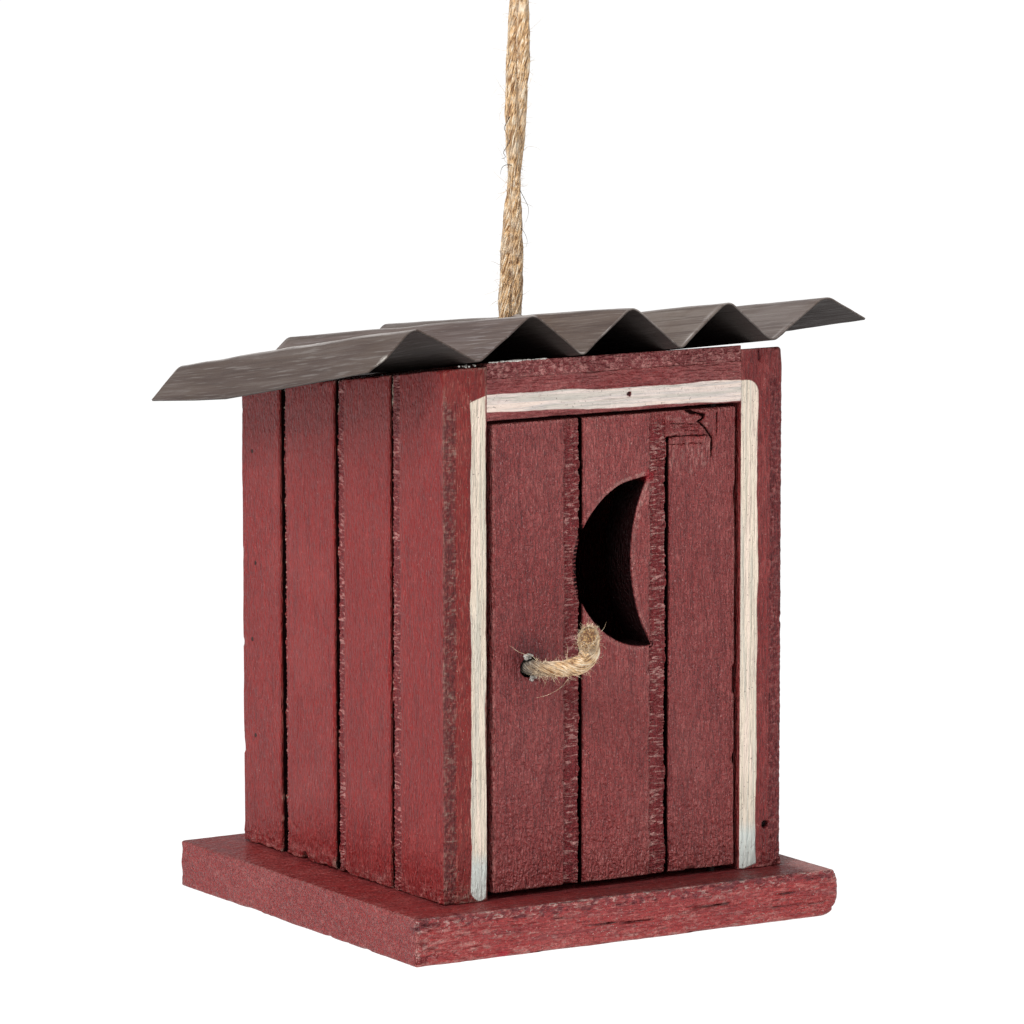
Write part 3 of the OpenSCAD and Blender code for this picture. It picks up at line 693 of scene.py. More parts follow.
def twine_mesh(name, line, s, dia, sides=40, plies=2, ply_pitch=9.0, seed=3, hand=1, cut_towards=None, door_shadow=None, swell=None):
    """A jute strand: a few plies laid round each other, with rough fibre on the surface."""
    t, u, w = frames_along(line)
    n = len(line)
    th = np.arange(sides) / sides * 2 * math.pi
    S, TH = np.meshgrid(s, th, indexing="ij")
    phase = hand * S * 2 * math.pi / ply_pitch
    lobe = np.abs(np.cos((TH - phase) * plies / 2.0))
    prof = 0.86 + 0.17 * lobe ** 0.7
    cx_, cy_ = np.cos(TH - phase * 0.8), np.sin(TH - phase * 0.8)
    rough = (noise(cx_ * 3.4 + 9, cy_ * 3.4, S * 0.22, seed) * 0.075 + noise(cx_ * 7.5, cy_ * 7.5, S * 0.45, seed + 5) * 0.065
             + noise(cx_ * 1.6, cy_ * 1.6, S * 0.35, seed + 6) * 0.07)
    thick = 1 + 0.06 * noise(S * 0.16, 0, 0, seed + 9)
    if swell is not None:
        thick = thick * np.interp(S, swell[0], swell[1])
    R = dia / 2 * (prof + rough) * thick
    P = line[:, None, :] + R[..., None] * (np.cos(TH)[..., None] * u[:, None, :] + np.sin(TH)[..., None] * w[:, None, :])
    if cut_towards is not None:  # cut on the slant, and splayed: the side that faces the given way ends lower
        f = np.array(cut_towards, float)
        f /= np.linalg.norm(f)
        k = smooth(s[-1] - 3.4, s[-1], S)[..., None]
        o = P - line[:, None, :]
        face = (o @ f)[..., None]
        P = P - t[:, None, :] * (k * face * 1.15) + o * k * (0.16 + 0.10 * noise(TH * 2.2, S * 0.9, 3, seed + 21))[..., None]
        P = P + t[:, None, :] * (k ** 3 * (0.45 * noise(TH * 4.1, 0.2, 0, seed + 31) + 0.3 * noise(TH * 9.1, 0.7, 0, seed + 33))[..., None])
    pts = P.reshape(-1, 3)
    idx = np.arange(n * sides).reshape(n, sides)
    a, b = idx[:-1], idx[1:]
    q = np.stack([a, np.roll(a, -1, 1), np.roll(b, -1, 1), b], -1).reshape(-1, 4)
    # end caps: rings that close in on the middle
    extra_pts, quads = [], [q]
    count = len(pts)
    tips = []
    for end, sign in ((0, -1), (n - 1, 1)):
        ring = idx[end]
        prev = ring
        c = line[end]
        for f in (0.86, 0.66, 0.44, 0.24, 0.10):
            mid = P[end].mean(0)
            rr = P[end] * f + mid * (1 - f) + t[end] * sign * (0.12 * (1 - f) + (0.0 if end == 0 else 0.26) * noise(th * 3.5, f * 9.0, 0, seed + 41)[:, None])
            if end and cut_towards is not None:  # sunk a little inside the rim
                rr = rr + np.array(cut_towards) * (-0.35 * (1 - abs(2 * f - 1)))
            ids = np.arange(count, count + sides)
            extra_pts.append(rr)
            count += sides
            quad = np.stack([prev, np.roll(prev, -1), np.roll(ids, -1), ids], -1)
            quads.append(quad[:, ::-1] if sign < 0 else quad)
            prev = ids
        tips.append((prev, sign))
    pts = np.concatenate([pts] + extra_pts)
    extra = [list(r[::-1]) if sg < 0 else list(r) for r, sg in tips]
    allq = np.concatenate(quads)
    me = fast_mesh(name, pts, allq, extra)
    total = len(pts)
    ply = np.zeros(total)
    ply[: n * sides] = (smooth(0.36, 0.0, lobe)).ravel()
    along = np.zeros(total)
    along[: n * sides] = S.ravel()
    around = np.zeros(total)
    around[: n * sides] = ((TH - phase * 0.8) / (2 * math.pi)).ravel()
    gr = np.zeros(total)
    if door_shadow is not None:
        gr[: n * sides] = np.interp(S, door_shadow[0], door_shadow[1]).ravel()
    core = np.zeros(total)
    k = n * sides
    for e_i, end in enumerate((0, n - 1)):
        for ring in range(5):
            sl = slice(k, k + sides)
            around[sl] = th / (2 * math.pi) * 2 + ring * 0.8
            along[sl] = s[end] + ring * 3
            if end:
                core[sl] = (0.35, 0.9, 1.0, 1.0, 1.0)[ring]
            k += sides
    me_fix(me)
    set_attribute(me, "door_shadow", gr)
    set_attribute(me, "core", core)
    set_attribute(me, "ply", ply)
    set_attribute(me, "along", along)
    set_attribute(me, "around", around)
    finish_shading(me, 60)
    return me


def me_fix(me):
    bm = bmesh.new()
    bm.from_mesh(me)
    bmesh.ops.recalc_face_normals(bm, faces=bm.faces)
    bm.to_mesh(me)
    bm.free()
    me.update()


def fibres(name, roots, seed, sides=3):
    """Loose fibres: roots = [(point, outward direction, along direction, length, radius)], each a thin curved hair."""
    rng = np.random.default_rng(seed)
    V, Q, E = [], [], []
    for p, o, al, length, rad in roots:
        k = 7
        o = o / np.linalg.norm(o)
        al = al / np.linalg.norm(al)
        side = np.cross(o, al)
        d = o * rng.uniform(0.5, 1.0) + al * rng.uniform(-0.9, 0.9) + side * rng.uniform(-0.6, 0.6)
        d /= np.linalg.norm(d)
        curl = (al * rng.normal() + side * rng.normal() - o * rng.uniform(0.0, 0.9)) * rng.uniform(0.4, 1.3) / length
        pos = p - o * 0.25
        step = length / (k - 1)
        ring0 = len(V)
        for i in range(k):
            a = np.cross(d, [0.31, 0.57, 0.76])
            a /= np.linalg.norm(a)
            b = np.cross(d, a)
            r = rad * (1 - 0.75 * (i / (k - 1)))
            for j in range(sides):
                an = 2 * math.pi * j / sides
                V.append(pos + r * (math.cos(an) * a + math.sin(an) * b))
            d = d + curl * step + rng.normal(size=3) * 0.10
            d /= np.linalg.norm(d)
            pos = pos + d * step
        for i in range(k - 1):
            for j in range(sides):
                a0 = ring0 + i * sides + j
                a1 = ring0 + i * sides + (j + 1) % sides
                Q.append((a0, a1, a1 + sides, a0 + sides))
        E.append([ring0 + j for j in range(sides - 1, -1, -1)])
        E.append([ring0 + (k - 1) * sides + j for j in range(sides)])
    me = fast_mesh(name, np.array(V), np.array(Q), E)
    me_fix(me)
    finish_shading(me, 80)
    return me


def hairs(name, curves):
    """Stray fibres along listed curves: [(points, radius)]."""
    V, Q, E = [], [], []
    for pts, rad in curves:
        line, _s = resample(catmull(pts, 8), 0.3)
        t_, u_, w_ = frames_along(line)
        k = len(line)
        ring0 = len(V)
        for i in range(k):
            r_ = rad * (1 - 0.6 * i / (k - 1))
            for j in range(4):
                an = math.pi * j / 2
                V.append(line[i] + r_ * (math.cos(an) * u_[i] + math.sin(an) * w_[i]))
        for i in range(k - 1):
            for j in range(4):
                a0, a1 = ring0 + i * 4 + j, ring0 + i * 4 + (j + 1) % 4
                Q.append((a0, a1, a1 + 4, a0 + 4))
        E.append([ring0 + j for j in range(3, -1, -1)])
        E.append([ring0 + (k - 1) * 4 + j for j in range(4)])
    me_ = fast_mesh(name, np.array(V), np.array(Q), E)
    me_fix(me_)
    finish_shading(me_, 80)
    return me_


def add(name, me, mat, body="root", replaces=()):
    o = bpy.data.objects.new(name, me)
    scene.collection.objects.link(o)
    o.data.materials.clear()
    o.data.materials.append(mat)
    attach(o, body)
    if replaces:
        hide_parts(*replaces)
    return o


# hanging twine: up one leg, round the loop and down the other
leg_a = np.array([leg(z, 0) for z in np.linspace(134, 232, 190)])
leg_b = np.array([leg(z, 1) for z in np.linspace(232, 134, 190)])
half = [(2.0, 236), (3.6, 240), (5.4, 244), (6.8, 248), (7.2, 252), (6.2, 256), (3.6, 258.6)]


def loop_pt(p, s):
    return (axis_x(p[1]), HOLE[1] - s * p[0], p[1])


loop = [leg(231.0, 0), leg(232, 0)] + [loop_pt(p, 1) for p in half] + [loop_pt((0, 259.6), 1)] + [loop_pt(p, -1) for p in half[::-1]] + [leg(232, 1), leg(231.0, 1)]
loop_line = catmull(loop, 10)[10:-10]
route = np.concatenate([leg_a[:-1], loop_line, leg_b[1:]])
h_line, h_s = resample(route, 0.45)
h_me = twine_mesh("hanging_jute", h_line, h_s, 3.25, sides=60, plies=3, ply_pitch=33.0, seed=11, hand=1)
hanging = add("hanging_jute", h_me, M_JUTE, "root", ["hanging_twine"])

# its loose fibres
rng = np.random.default_rng(5)
t_h, u_h, w_h = frames_along(h_line)
roots = []
for _ in range(1300):
    i = rng.integers(25, len(h_line) - 25)
    if h_line[i][2] < 150.5:
        continue
    an = rng.uniform(0, 2 * math.pi)
    o_dir = math.cos(an) * u_h[i] + math.sin(an) * w_h[i]
    kind = rng.random()
    length = rng.uniform(4, 7.5) if kind < 0.06 else rng.uniform(1.6, 3.4) if kind < 0.3 else rng.uniform(0.7, 1.7)
    roots.append((h_line[i] + o_dir * 1.5, o_dir, t_h[i], length, rng.uniform(0.035, 0.07)))
# a few long curled strays towards the left
for z_, ln in ((214, 5), (205, 6), (190, 7), (187, 5), (184, 6), (169, 7), (163, 6), (155, 6)):
    i = int(np.argmin(np.abs(leg_a[:, 2] - z_)) * (len(h_line) * 98.0 / 269.0 / 190.0))
    i = int(np.argmin(np.abs(h_line[: len(h_line) // 2, 2] - z_)))
    o_dir = np.array([-0.85, -0.5, 0.1])
    roots.append((h_line[i] + o_dir * 1.5, o_dir, t_h[i], ln, 0.08))
h_fuzz = add("hanging_jute_fibres", fibres("hanging_jute_fibres", roots, 6), M_FUZZ, "root")
h_stray = add("hanging_jute_dark_fibres", hairs("hanging_jute_dark_fibres", [
    ([(2.3, 3.2, 202.0), (1.0, 2.6, 200.6), (0.3, 2.5, 199.2), (1.0, 2.6, 197.6), (1.6, 2.9, 195.8)], 0.13),
    ([(2.3, 3.0, 196.2), (0.9, 2.5, 194.4), (0.0, 2.5, 193.0), (0.6, 2.5, 191.8), (-0.5, 2.6, 191.4)], 0.13),
    ([(2.7, 3.0, 189.6), (1.1, 2.6, 189.8), (0.0, 2.6, 189.5), (-0.6, 2.7, 188.6), (-0.7, 2.8, 187.4)], 0.13),
    ([(5.1, 3.2, 183.5), (6.7, 3.0, 180.6), (7.7, 3.0, 178.6), (7.6, 3.0, 176.4), (7.0, 3.1, 174.8)], 0.08),
    ([(5.0, 3.2, 174.0), (6.5, 3.0, 172.2), (7.4, 3.0, 170.0), (7.0, 3.1, 168.4)], 0.07)]), M_HAIR, "root")


def knot_mesh(name, centre, axis, r, h, dia, seed):
    """An overhand stopper knot drawn as a trefoil of the same twine, pulled tight."""
    k = np.linspace(0, 2 * math.pi, 150)
    x = np.sin(k) + 1.55 * np.sin(2 * k)
    y = np.cos(k) - 1.55 * np.cos(2 * k)
    z = -np.sin(3 * k) * 1.0
    line = np.stack([x, y, z], 1)
    line[:, :2] *= (r - dia / 2) / np.abs(line[:, :2]).max()
    line[:, 2] *= (h / 2 - dia / 2)
    axis = Vector(axis).normalized()
    q = Vector((0, 0, 1)).rotation_difference(axis)
    R = np.array(q.to_matrix())
    line = line @ R.T + np.array(centre)
    line, s = resample(line, 0.4)
    return twine_mesh(name, line, s, dia, sides=24, plies=3, ply_pitch=11.0, seed=seed)


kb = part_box("hanging_twine_knot")
kc = [(kb[0][i] + kb[1][i]) / 2 / MM for i in range(3)]
h_knot = add("hanging_jute_knot", knot_mesh("hanging_jute_knot", kc, (0, 0, 1), 5.3, 6.8, 3.1, 31), M_JUTE, "root", ["hanging_twine_knot"])

# the door pull
pr = [(-25, DY1 + 1, 0), (-25, DY1 - 3, 0), (-25, DY1 - 7, 0), (-25, DY0 + 2.4, 0), (-24.9, DY0 - 0.6, 0), (-24.3, DY0 - 3, 0.1),
      (-22.7, DY0 - 5.2, 0.1), (-20.4, DY0 - 6.7, 0.2), (-17.9, DY0 - 7.9, 0.4), (-15.8, DY0 - 9.1, 1.2), (-14.6, DY0 - 10.2, 2.6),
      (-14.4, DY0 - 11.1, 4.4), (-14.9, DY0 - 11.8, 6.2), (-15.3, DY0 - 12.3, 7.8)]
p_line, p_s = resample(catmull([(a, b, PULL[1] + c) for a, b, c in pr], 12), 0.3)
s_door = float(np.interp(-DY0, -p_line[:, 1], p_s))
# the pull is darker where it leaves the door: painted shadow
p_me = twine_mesh("pull_jute", p_line, p_s, 3.7, sides=64, plies=3, ply_pitch=15.0, seed=51, hand=1, cut_towards=(-0.62, -0.78, 0.05), swell=([0, s_door + 1, s_door + 5, s_door + 11, p_s[-1] - 4, p_s[-1]], [0.9, 0.9, 1.0, 1.12, 1.24, 1.24]),
                  door_shadow=([0, s_door + 1.0, s_door + 3.5, s_door + 7.5], [1, 1, 0.8, 0.0]))
pull = add("pull_jute", p_me, M_JUTE, "door", ["door_pull_twine"])
t_p, u_p, w_p = frames_along(p_line)
i_door = int(np.argmin(np.abs(p_s - s_door)))
roots = []
for _ in range(1000):
    i = int(rng.integers(i_door + 8, len(p_line)))
    an = rng.uniform(0, 2 * math.pi)
    o_dir = math.cos(an) * u_p[i] + math.sin(an) * w_p[i]
    if o_dir[2] > 0.2 and rng.random() < 0.5:
        o_dir = -o_dir
    kind = rng.random()
    roots.append((p_line[i] + o_dir * 1.65, o_dir, t_p[i], rng.uniform(2.0, 4.0) if kind < 0.13 else rng.uniform(0.6, 1.9), rng.uniform(0.04, 0.075)))
for _ in range(240):  # round the rim of the cut end
    an = rng.uniform(0, 2 * math.pi)
    o_dir = math.cos(an) * u_p[-1] + math.sin(an) * w_p[-1]
    f = np.array([-0.62, -0.78, 0.05])
    base_p = p_line[-1] + o_dir * 2.45 - t_p[-1] * (o_dir @ f) * 2.9
    d_ = o_dir * 0.6 + t_p[-1] * 0.9
    roots.append((base_p, d_, np.cross(d_, f), rng.uniform(0.5, 2.0), rng.uniform(0.035, 0.06)))
p_fuzz = add("pull_jute_fibres", fibres("pull_jute_fibres", roots, 8), M_FUZZ, "door")
p_stray = add("pull_jute_stray_fibres", hairs("pull_jute_stray_fibres", [
    ([(-25.0, DY0 + 0.4, 72.0), (-25.8, DY0 - 0.9, 72.7), (-27.4, DY0 - 1.6, 73.4), (-29.4, DY0 - 1.6, 74.3), (-30.6, DY0 - 1.2, 75.3), (-31.3, DY0 - 0.9, 75.8)], 0.075),
    ([(-17.6, DY0 - 6.2, 67.0), (-18.2, DY0 - 5.2, 65.4), (-19.8, DY0 - 4.2, 63.9), (-22.0, DY0 - 3.2, 62.8), (-24.4, DY0 - 2.4, 62.3)], 0.06),
    ([(-18.6, DY0 - 7.5, 71.5), (-19.0, DY0 - 8.2, 73.0), (-19.1, DY0 - 8.6, 75.0), (-19.6, DY0 - 8.8, 76.4)], 0.055),
    ([(-15.4, DY0 - 12.8, 79.5), (-16.3, DY0 - 13.6, 81.5), (-16.2, DY0 - 13.9, 83.4)], 0.055),
    ([(-13.2, DY0 - 12.6, 78.5), (-11.6, DY0 - 13.2, 79.9), (-10.9, DY0 - 13.4, 81.6)], 0.055)]), M_FUZZ, "door")
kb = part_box("door_pull_knot")
kc = [(kb[0][i] + kb[1][i]) / 2 / MM for i in range(3)]
p_knot = add("pull_jute_knot", knot_mesh("pull_jute_knot", kc, (0, 1, 0), 4.5, 5.8, 2.9, 61), M_JUTE, "door", ["door_pull_knot"])


# ---------------------------------------------------------------- boards
def chatter(a, b, seed, pitch=1.25):
    """Saw marks across a narrow band: a runs along the band, b across it. 0..1."""
    w = a + 0.55 * noise(a * 0.35, b * 0.45, 0, seed + 1) + 0.32 * noise(a * 0.9, b * 0.9, 0, seed + 2) + 0.9 * noise(a * 0.06, 0, 0, seed + 5)
    r = 1 - np.abs(np.sin(w * math.pi / pitch)) ** 0.8
    k = 0.62 + 0.38 * noise(a * 0.4, b * 0.55, 3.3, seed + 3)
    return np.clip(r * k + 0.30 * (0.5 + 0.5 * noise(a * 1.6, b * 1.7, 0, seed + 4)), 0, 1)


def groove_depth(v, along, cuts, direction, seed, pitch=1.25, relief=1.0, tops=None):
    """Depth of the thin grooves and of the rough bands beside them. v runs across the planks, and a band lies on
    the direction side of its groove. Returns depth, darkness (painted shade in the bands' troughs), wear with painted
    highlight, roughness of the band, and the groove's mask."""
    depth = np.zeros_like(v)
    dark = np.zeros_like(v)
    wear_and_glint = np.zeros_like(v)
    band_k = np.zeros_like(v)
    kerf = np.zeros_like(v)
    for i, (c, band, kw) in enumerate(cuts):
        wob = 0.10 * noise(along * 0.06, i * 3.1, 0, seed + i)
        d = (v - c - wob)
        ragged = 0.16 * noise(along * 1.1, i, 0, seed + 80 + i) + 0.14 * noise(along * 0.3, i, 0, seed + 82 + i)
        e_hi = kw / 2 + (ragged if direction > 0 else 0)
        e_lo = -kw / 2 - (ragged if direction < 0 else 0)
        k = smooth(e_hi + 0.10, e_hi - 0.08, d) * smooth(e_lo - 0.10, e_lo + 0.08, d)
        if tops is not None:
            k = k * smooth(tops[i] + 0.2, tops[i] - 0.5, along)
        s0, s1 = (kw / 2, kw / 2 + band) if direction > 0 else (-kw / 2 - band, -kw / 2)
        edge_w = 0.30 * noise(along * 0.5, i, 0, seed + 20 + i) + 0.22 * noise(along * 1.5, i, 0, seed + 25 + i)
        far = s1 + edge_w if direction > 0 else s1
        near = s0 if direction > 0 else s0 + edge_w
        in_band = smooth(near - 0.12, near + 0.12, d) * smooth(far + 0.12, far - 0.12, d)
        ch = chatter(along, v, seed + 40 + i * 7, pitch)
        band_depth = BAND_D * relief * (1.05 - 0.95 * ch)
        outer = far if direction > 0 else near
        rub_and_glint = np.exp(-np.abs(d - outer) / 0.30) * (1 - in_band)
        lip = -d if direction > 0 else d
        other = smooth(kw / 2 + 0.8, kw / 2 + 0.1, lip) * (lip > kw / 2) * 0.20
        depth = np.maximum(depth, np.maximum(in_band * band_depth, other * (0.6 + 0.4 * noise(along * 0.3, 2, 0, seed + 60))))
        depth = np.maximum(depth, k * (KERF_D + 0.2 * noise(along * 0.2, 5, 0, seed + 61)))
        kerf = np.maximum(kerf, k)
        # painted shade in the chatter's troughs; painted highlight on its ridges and along the band's outer edge
        dark = np.maximum(dark, in_band * smooth(0.42, 0.05, ch) * 0.30)
        wear_and_glint = np.maximum(wear_and_glint, np.maximum(in_band * smooth(0.42, 0.80, ch) * 0.6, rub_and_glint * 0.45))
        wear_and_glint = np.where(k > 0.3, 0, wear_and_glint)
        band_k = np.maximum(band_k, in_band * (1 - k))
    return depth, dark, wear_and_glint, band_k, kerf


def dimple(u, v, cu, cv, r, depth):
    d = np.hypot(u - cu, v - cv)
    return depth * smooth(r, r * 0.62, d)


def edge_radius(P, lo, hi, base, amp, seed, big=1.6, chance=0.55):
    """Uneven rounding: mostly slight, here and there a bruise."""
    n = noise(P[:, 0] * 0.12 + seed, P[:, 1] * 0.12, P[:, 2] * 0.12, seed)
    n2 = noise(P[:, 0] * 0.45, P[:, 1] * 0.45, P[:, 2] * 0.45, seed + 7)
    bruise = smooth(chance, 0.95, noise(P[:, 0] * 0.22, P[:, 1] * 0.22, P[:, 2] * 0.22 + 5, seed + 13)) * big
    return np.clip(base + amp * n + 0.5 * amp * n2 + bruise, 0.12, 3.0)


def edge_closeness(P, lo, hi, width):
    """1 on an edge of the block, falling to 0 at width from it."""
    d = np.sort(np.minimum(np.abs(P - lo), np.abs(hi - P)), axis=1)
    return smooth(width, 0, d[:, 1])


def kerf_lines(cuts):
    out = []
    for c, band, kw in cuts:
        a, b = c - kw / 2, c + kw / 2
        out.append((a - band - 0.7, a - 0.42, 0.36))
        out.append((a - 0.42, a + 0.14, 0.112))
        out.append((a + 0.14, b - 0.14, 0.45))
        out.append((b - 0.14, b + 0.14, 0.093))
    return out


def wall_board(sign, seed, mat, name, node, holes=()):
    """A side wall. Built as the left one (outer face at x = -50), then mirrored for the right."""
    extra_y = kerf_lines(WALL_CUTS)
    brads = {-1: [(45.5, 115), (44.2, 86), (46, 65.8), (44.7, 40.7)], 1: [(45, 112), (44.5, 84), (45.5, 62), (45, 38)]}[sign]
    extra_y.append((43.0, 47.2, 0.25))
    ys = lines(-HD, HD, 0.8, extra_y)
    xs = lines(-HW, -HW + WALL_T, 0.8, [(-50, -45.9, 0.3)] + ([(-46.8, -44.0, 0.2), (-50, -46.8, 0.3)] if holes else []))
    zs = lines(0, 133.5, 0.32)
    P, Q = lattice(xs, ys, zs)
    lo, hi = np.array([-HW, -HD, 0.0]), np.array([-HW + WALL_T, HD, 133.5])
    rad = edge_radius(P, lo, hi, 0.42, 0.16, seed, 0.9, 0.66) if sign < 0 else edge_radius(P, lo, hi, 0.40, 0.10, seed, 0.5, 0.8)
    rad = rad + 0.8 * smooth(5, 0, np.hypot(P[:, 0] + HW, P[:, 1] + HD)) * smooth(128.0, 133.0, P[:, 2])
    # tight against the header's end
    rad = np.where((P[:, 0] > -38.2) & (P[:, 1] < -38) & (P[:, 2] > 118.5), 0.10, rad)
    closeness = edge_closeness(P, lo, hi, 0.9)
    B = P.copy()
    P = round_edges(P, lo, hi, rad)
    x, y, t = B[:, 0], B[:, 1], B[:, 2]
    zz = BASE_T + t / 133.5 * (top_z(y) - BASE_T)
    # outer face: planks
    depth, dark, wear_and_glint, band_o, kerf = groove_depth(y, zz, WALL_CUTS, -1, seed, 1.0, 0.8)
    depth = depth + 0.10 * (fbm(y * 0.07, zz * 0.015, 0, seed + 3) + 0.3)
    depth = depth + 0.05 * (fbm(y * 0.9, zz * 0.10, 0, seed + 4) + 0.5)
    # shallow scratches low down towards the back
    arc = np.hypot((y - 22) / 1.0, (zz - 44) / 1.9)
    low_back = smooth(18, 26, y) * smooth(40, 26, zz)
    scr = np.maximum(smooth(0.55, 0.1, np.abs(arc - 13.0)), smooth(0.5, 0.1, np.abs(arc - 15.2))) * low_back
    arc2 = np.abs(y + 19 - 0.02 * (zz - 50) ** 2 * 0.12)
    scr2 = smooth(0.35, 0.08, arc2) * smooth(38, 42, zz) * smooth(64, 58, zz) * 0.5
    if sign < 0:
        depth = depth + 0.22 * scr + 0.10 * scr2
        wear_and_glint = np.maximum(wear_and_glint, np.maximum(scr * 0.4, scr2 * 0.7))
    # brad holes: dimples darkened as painted shade
    for by, bz in brads:
        depth = depth + dimple(y, zz, by, bz, 0.6, 0.2)
        dark = np.maximum(dark, dimple(y, zz, by, bz, 0.6, 1.0))
    fall_in = np.clip(1 - (x + HW) / 6.0, 0, 1)
    P[:, 0] += depth * fall_in
    # front edge of the board: a rough sawn strip by the outer corner
    ch = chatter(zz, x, seed + 70, 1.0)
    strip = smooth(-46.1, -46.6, x + 0.25 * noise(zz * 0.5, 0, 0, seed + 71)) * smooth(139.5, 135.5, zz + 1.5 * noise(x * 0.5, 0, 0, seed + 79))
    crumb = np.clip(0.5 + 0.9 * noise(x * 1.5, zz * 1.5, 0, seed + 75) + 0.4 * noise(x * 2.6, zz * 2.6, 0, seed + 76), 0, 1)
    fdepth = strip * (0.05 + 0.16 * crumb + 0.05 * (1 - ch)) + 0.05 * (noise(x * 0.5, zz * 0.05, 0, seed + 72) + 1)
    # painted shade in the strip's pits, painted glints on its raised crumbs
    fdark = strip * (0.30 + smooth(0.5, 0.95, crumb) * 0.25)
    fwear_and_glint = strip * smooth(0.20, 0.03, crumb) * 0.4
    # the post is a little torn at the top right of the frame, the tear darkened as painted shade
    if holes:
        tear = smooth(0.5, 0.1, np.abs(x + 43.1 + 0.4 * noise(zz * 0.5, 0, 0, seed + 77))) * smooth(141.8, 142.6, zz)
        fdepth = fdepth + 0.6 * tear
        fdark = np.maximum(fdark, 0.8 * tear)
    # the holes darkened as painted shade
    for hx, hz in holes:
        fdepth = fdepth + dimple(x, zz, -hx, hz, 1.15, 1.6)
        fdark = np.maximum(fdark, dimple(x, zz, -hx, hz, 1.25, 1.0))
    f_in = np.clip(1 - (y + HD) / 6.0, 0, 1)
    P[:, 1] += fdepth * f_in
    # height follows the fall of the roof
    P[:, 2] = BASE_T + P[:, 2] / 133.5 * (top_z(y) - BASE_T)
    on_out = np.clip(1 - (x + HW) / 0.9, 0, 1)
    on_front = np.clip(1 - (y + HD) / 0.9, 0, 1)
    # clots of paint and a ragged foot
    foot = smooth(6.0, 0.5, zz - BASE_T)
    clot = np.clip(noise(y * 0.8, zz * 0.8, x * 0.8, seed + 82) + 0.1, 0, 1) * foot
    P[:, 0] -= 0.35 * clot * on_out
    P[:, 1] -= 0.30 * clot * on_front
    rag = 0.22 * noise(y * 0.9, x * 0.9, 0, seed + 80) + 0.15 * noise(y * 0.25, x * 0.25, 0, seed + 81) + 0.12
    for ny_, depth_ in ((19.0, 2.4), (-2.0, 1.2), (8.0, 0.6)):
        rag = rag + depth_ * np.exp(-((y - ny_) / 1.2) ** 2) * (x < -47) * (sign < 0)
    P[:, 2] += np.clip(rag, 0, 3) * np.clip(1 - (x + HW) / 4, 0, 1) * smooth(2.6, 0.0, zz - BASE_T)
    # painted shade in the grooves' bands, the brad holes and the strip's pits
    cav = np.maximum(dark * on_out, fdark * on_front)
    # lighter on edges, ridges and clots: wear and painted highlight
    wear_and_highlight = np.maximum(wear_and_glint * on_out, fwear_and_glint * on_front)
    wear_and_highlight = np.maximum(wear_and_highlight, closeness * (0.40 + 0.35 * noise(y * 0.3, zz * 0.3, x * 0.3, seed + 90)))
    wear_and_highlight = np.maximum(wear_and_highlight, 0.8 * clot)
    band_k = np.maximum(band_o * on_out * 0.85, strip * on_front * 0.28)
    band_k = np.maximum(band_k, foot * 0.35)
    # bare slivers at the tops of the grooves
    bare = np.zeros(len(P))
    for c, band, kw in WALL_CUTS:
        e_ = c - kw / 2
        bare = np.maximum(bare, smooth(0.45, 0.2, np.abs(y - e_ - 0.1 + 0.3 * noise(zz * 0.5, c, 0, seed + 95))) * smooth(9.5, 6.5, top_z(y) - zz + 2 * noise(zz * 0.6, c, 0, seed + 96)) * on_out * 0.8)
    if sign > 0:
        P[:, 0] *= -1
        Q = Q[:, ::-1]
    me = fast_mesh(name, P, Q)
    set_attribute(me, "kerf", kerf * on_out)
    set_attribute(me, "cav", np.clip(cav, 0, 1))
    set_attribute(me, "wear_and_highlight", np.clip(wear_and_highlight, 0, 1))
    set_attribute(me, "band", np.clip(band_k, 0, 1))
    set_attribute(me, "bare", np.clip(bare, 0, 1))
    finish_shading(me, 42)
    return add(name, me, mat, "root", [node])


wall_board(-1, 101, M_WALL_L, "left_wall_board", "left_wall")
wall_board(1, 202, M_WALL_R, "right_wall_board", "right_wall", holes=[(45.4, 23.1)])


def plain_block(name, lo, hi, steps, seed, mat, nodes, shape=None, base_r=0.5, amp=0.2, big=1.2, chance=0.6, extras=((), (), ()), detail=None, body="root", tight=None):
    xs, ys, zs = (lines(lo[i], hi[i], steps[i], extras[i]) for i in range(3))
    P, Q = lattice(xs, ys, zs)
    lo_, hi_ = np.array(lo, float), np.array(hi, float)
    B = P.copy()
    rad = edge_radius(P, lo_, hi_, base_r, amp, seed, big, chance)
    closeness = edge_closeness(P, lo_, hi_, 0.9)
    if tight is not None:
        rad = np.where(tight(P), 0.10, rad)
    P = round_edges(P, lo_, hi_, rad)
    cav = np.zeros(len(P))
    # edges lightened as wear and as painted highlight
    wear_and_highlight = closeness * (0.35 + 0.35 * noise(B[:, 0] * 0.3, B[:, 1] * 0.3, B[:, 2] * 0.3, seed + 90))
    band_k = np.zeros(len(P))
    if detail:
        P, cav, wear_and_highlight, band_k = detail(B, P, cav, wear_and_highlight)
    if shape:
        P = shape(B, P)
    me = fast_mesh(name, P, Q)
    set_attribute(me, "cav", np.clip(cav, 0, 1))
    set_attribute(me, "wear_and_highlight", np.clip(wear_and_highlight, 0, 1))
    set_attribute(me, "band", np.clip(band_k, 0, 1))
    if name == "base_plank":
        set_attribute(me, "fresh", smooth(1.9, 0.7, np.hypot((B[:, 0] + 39.7) / 1.3, B[:, 2] - 0.3)) * (B[:, 1] < -58) * 0.9)
    finish_shading(me, 42)
    return add(name, me, mat, body, nodes)


# header
DECK_T, DECK_UP = 4.0, 1.0


def deck_lo(y):
    return top_z(y) + DECK_UP - DECK_T


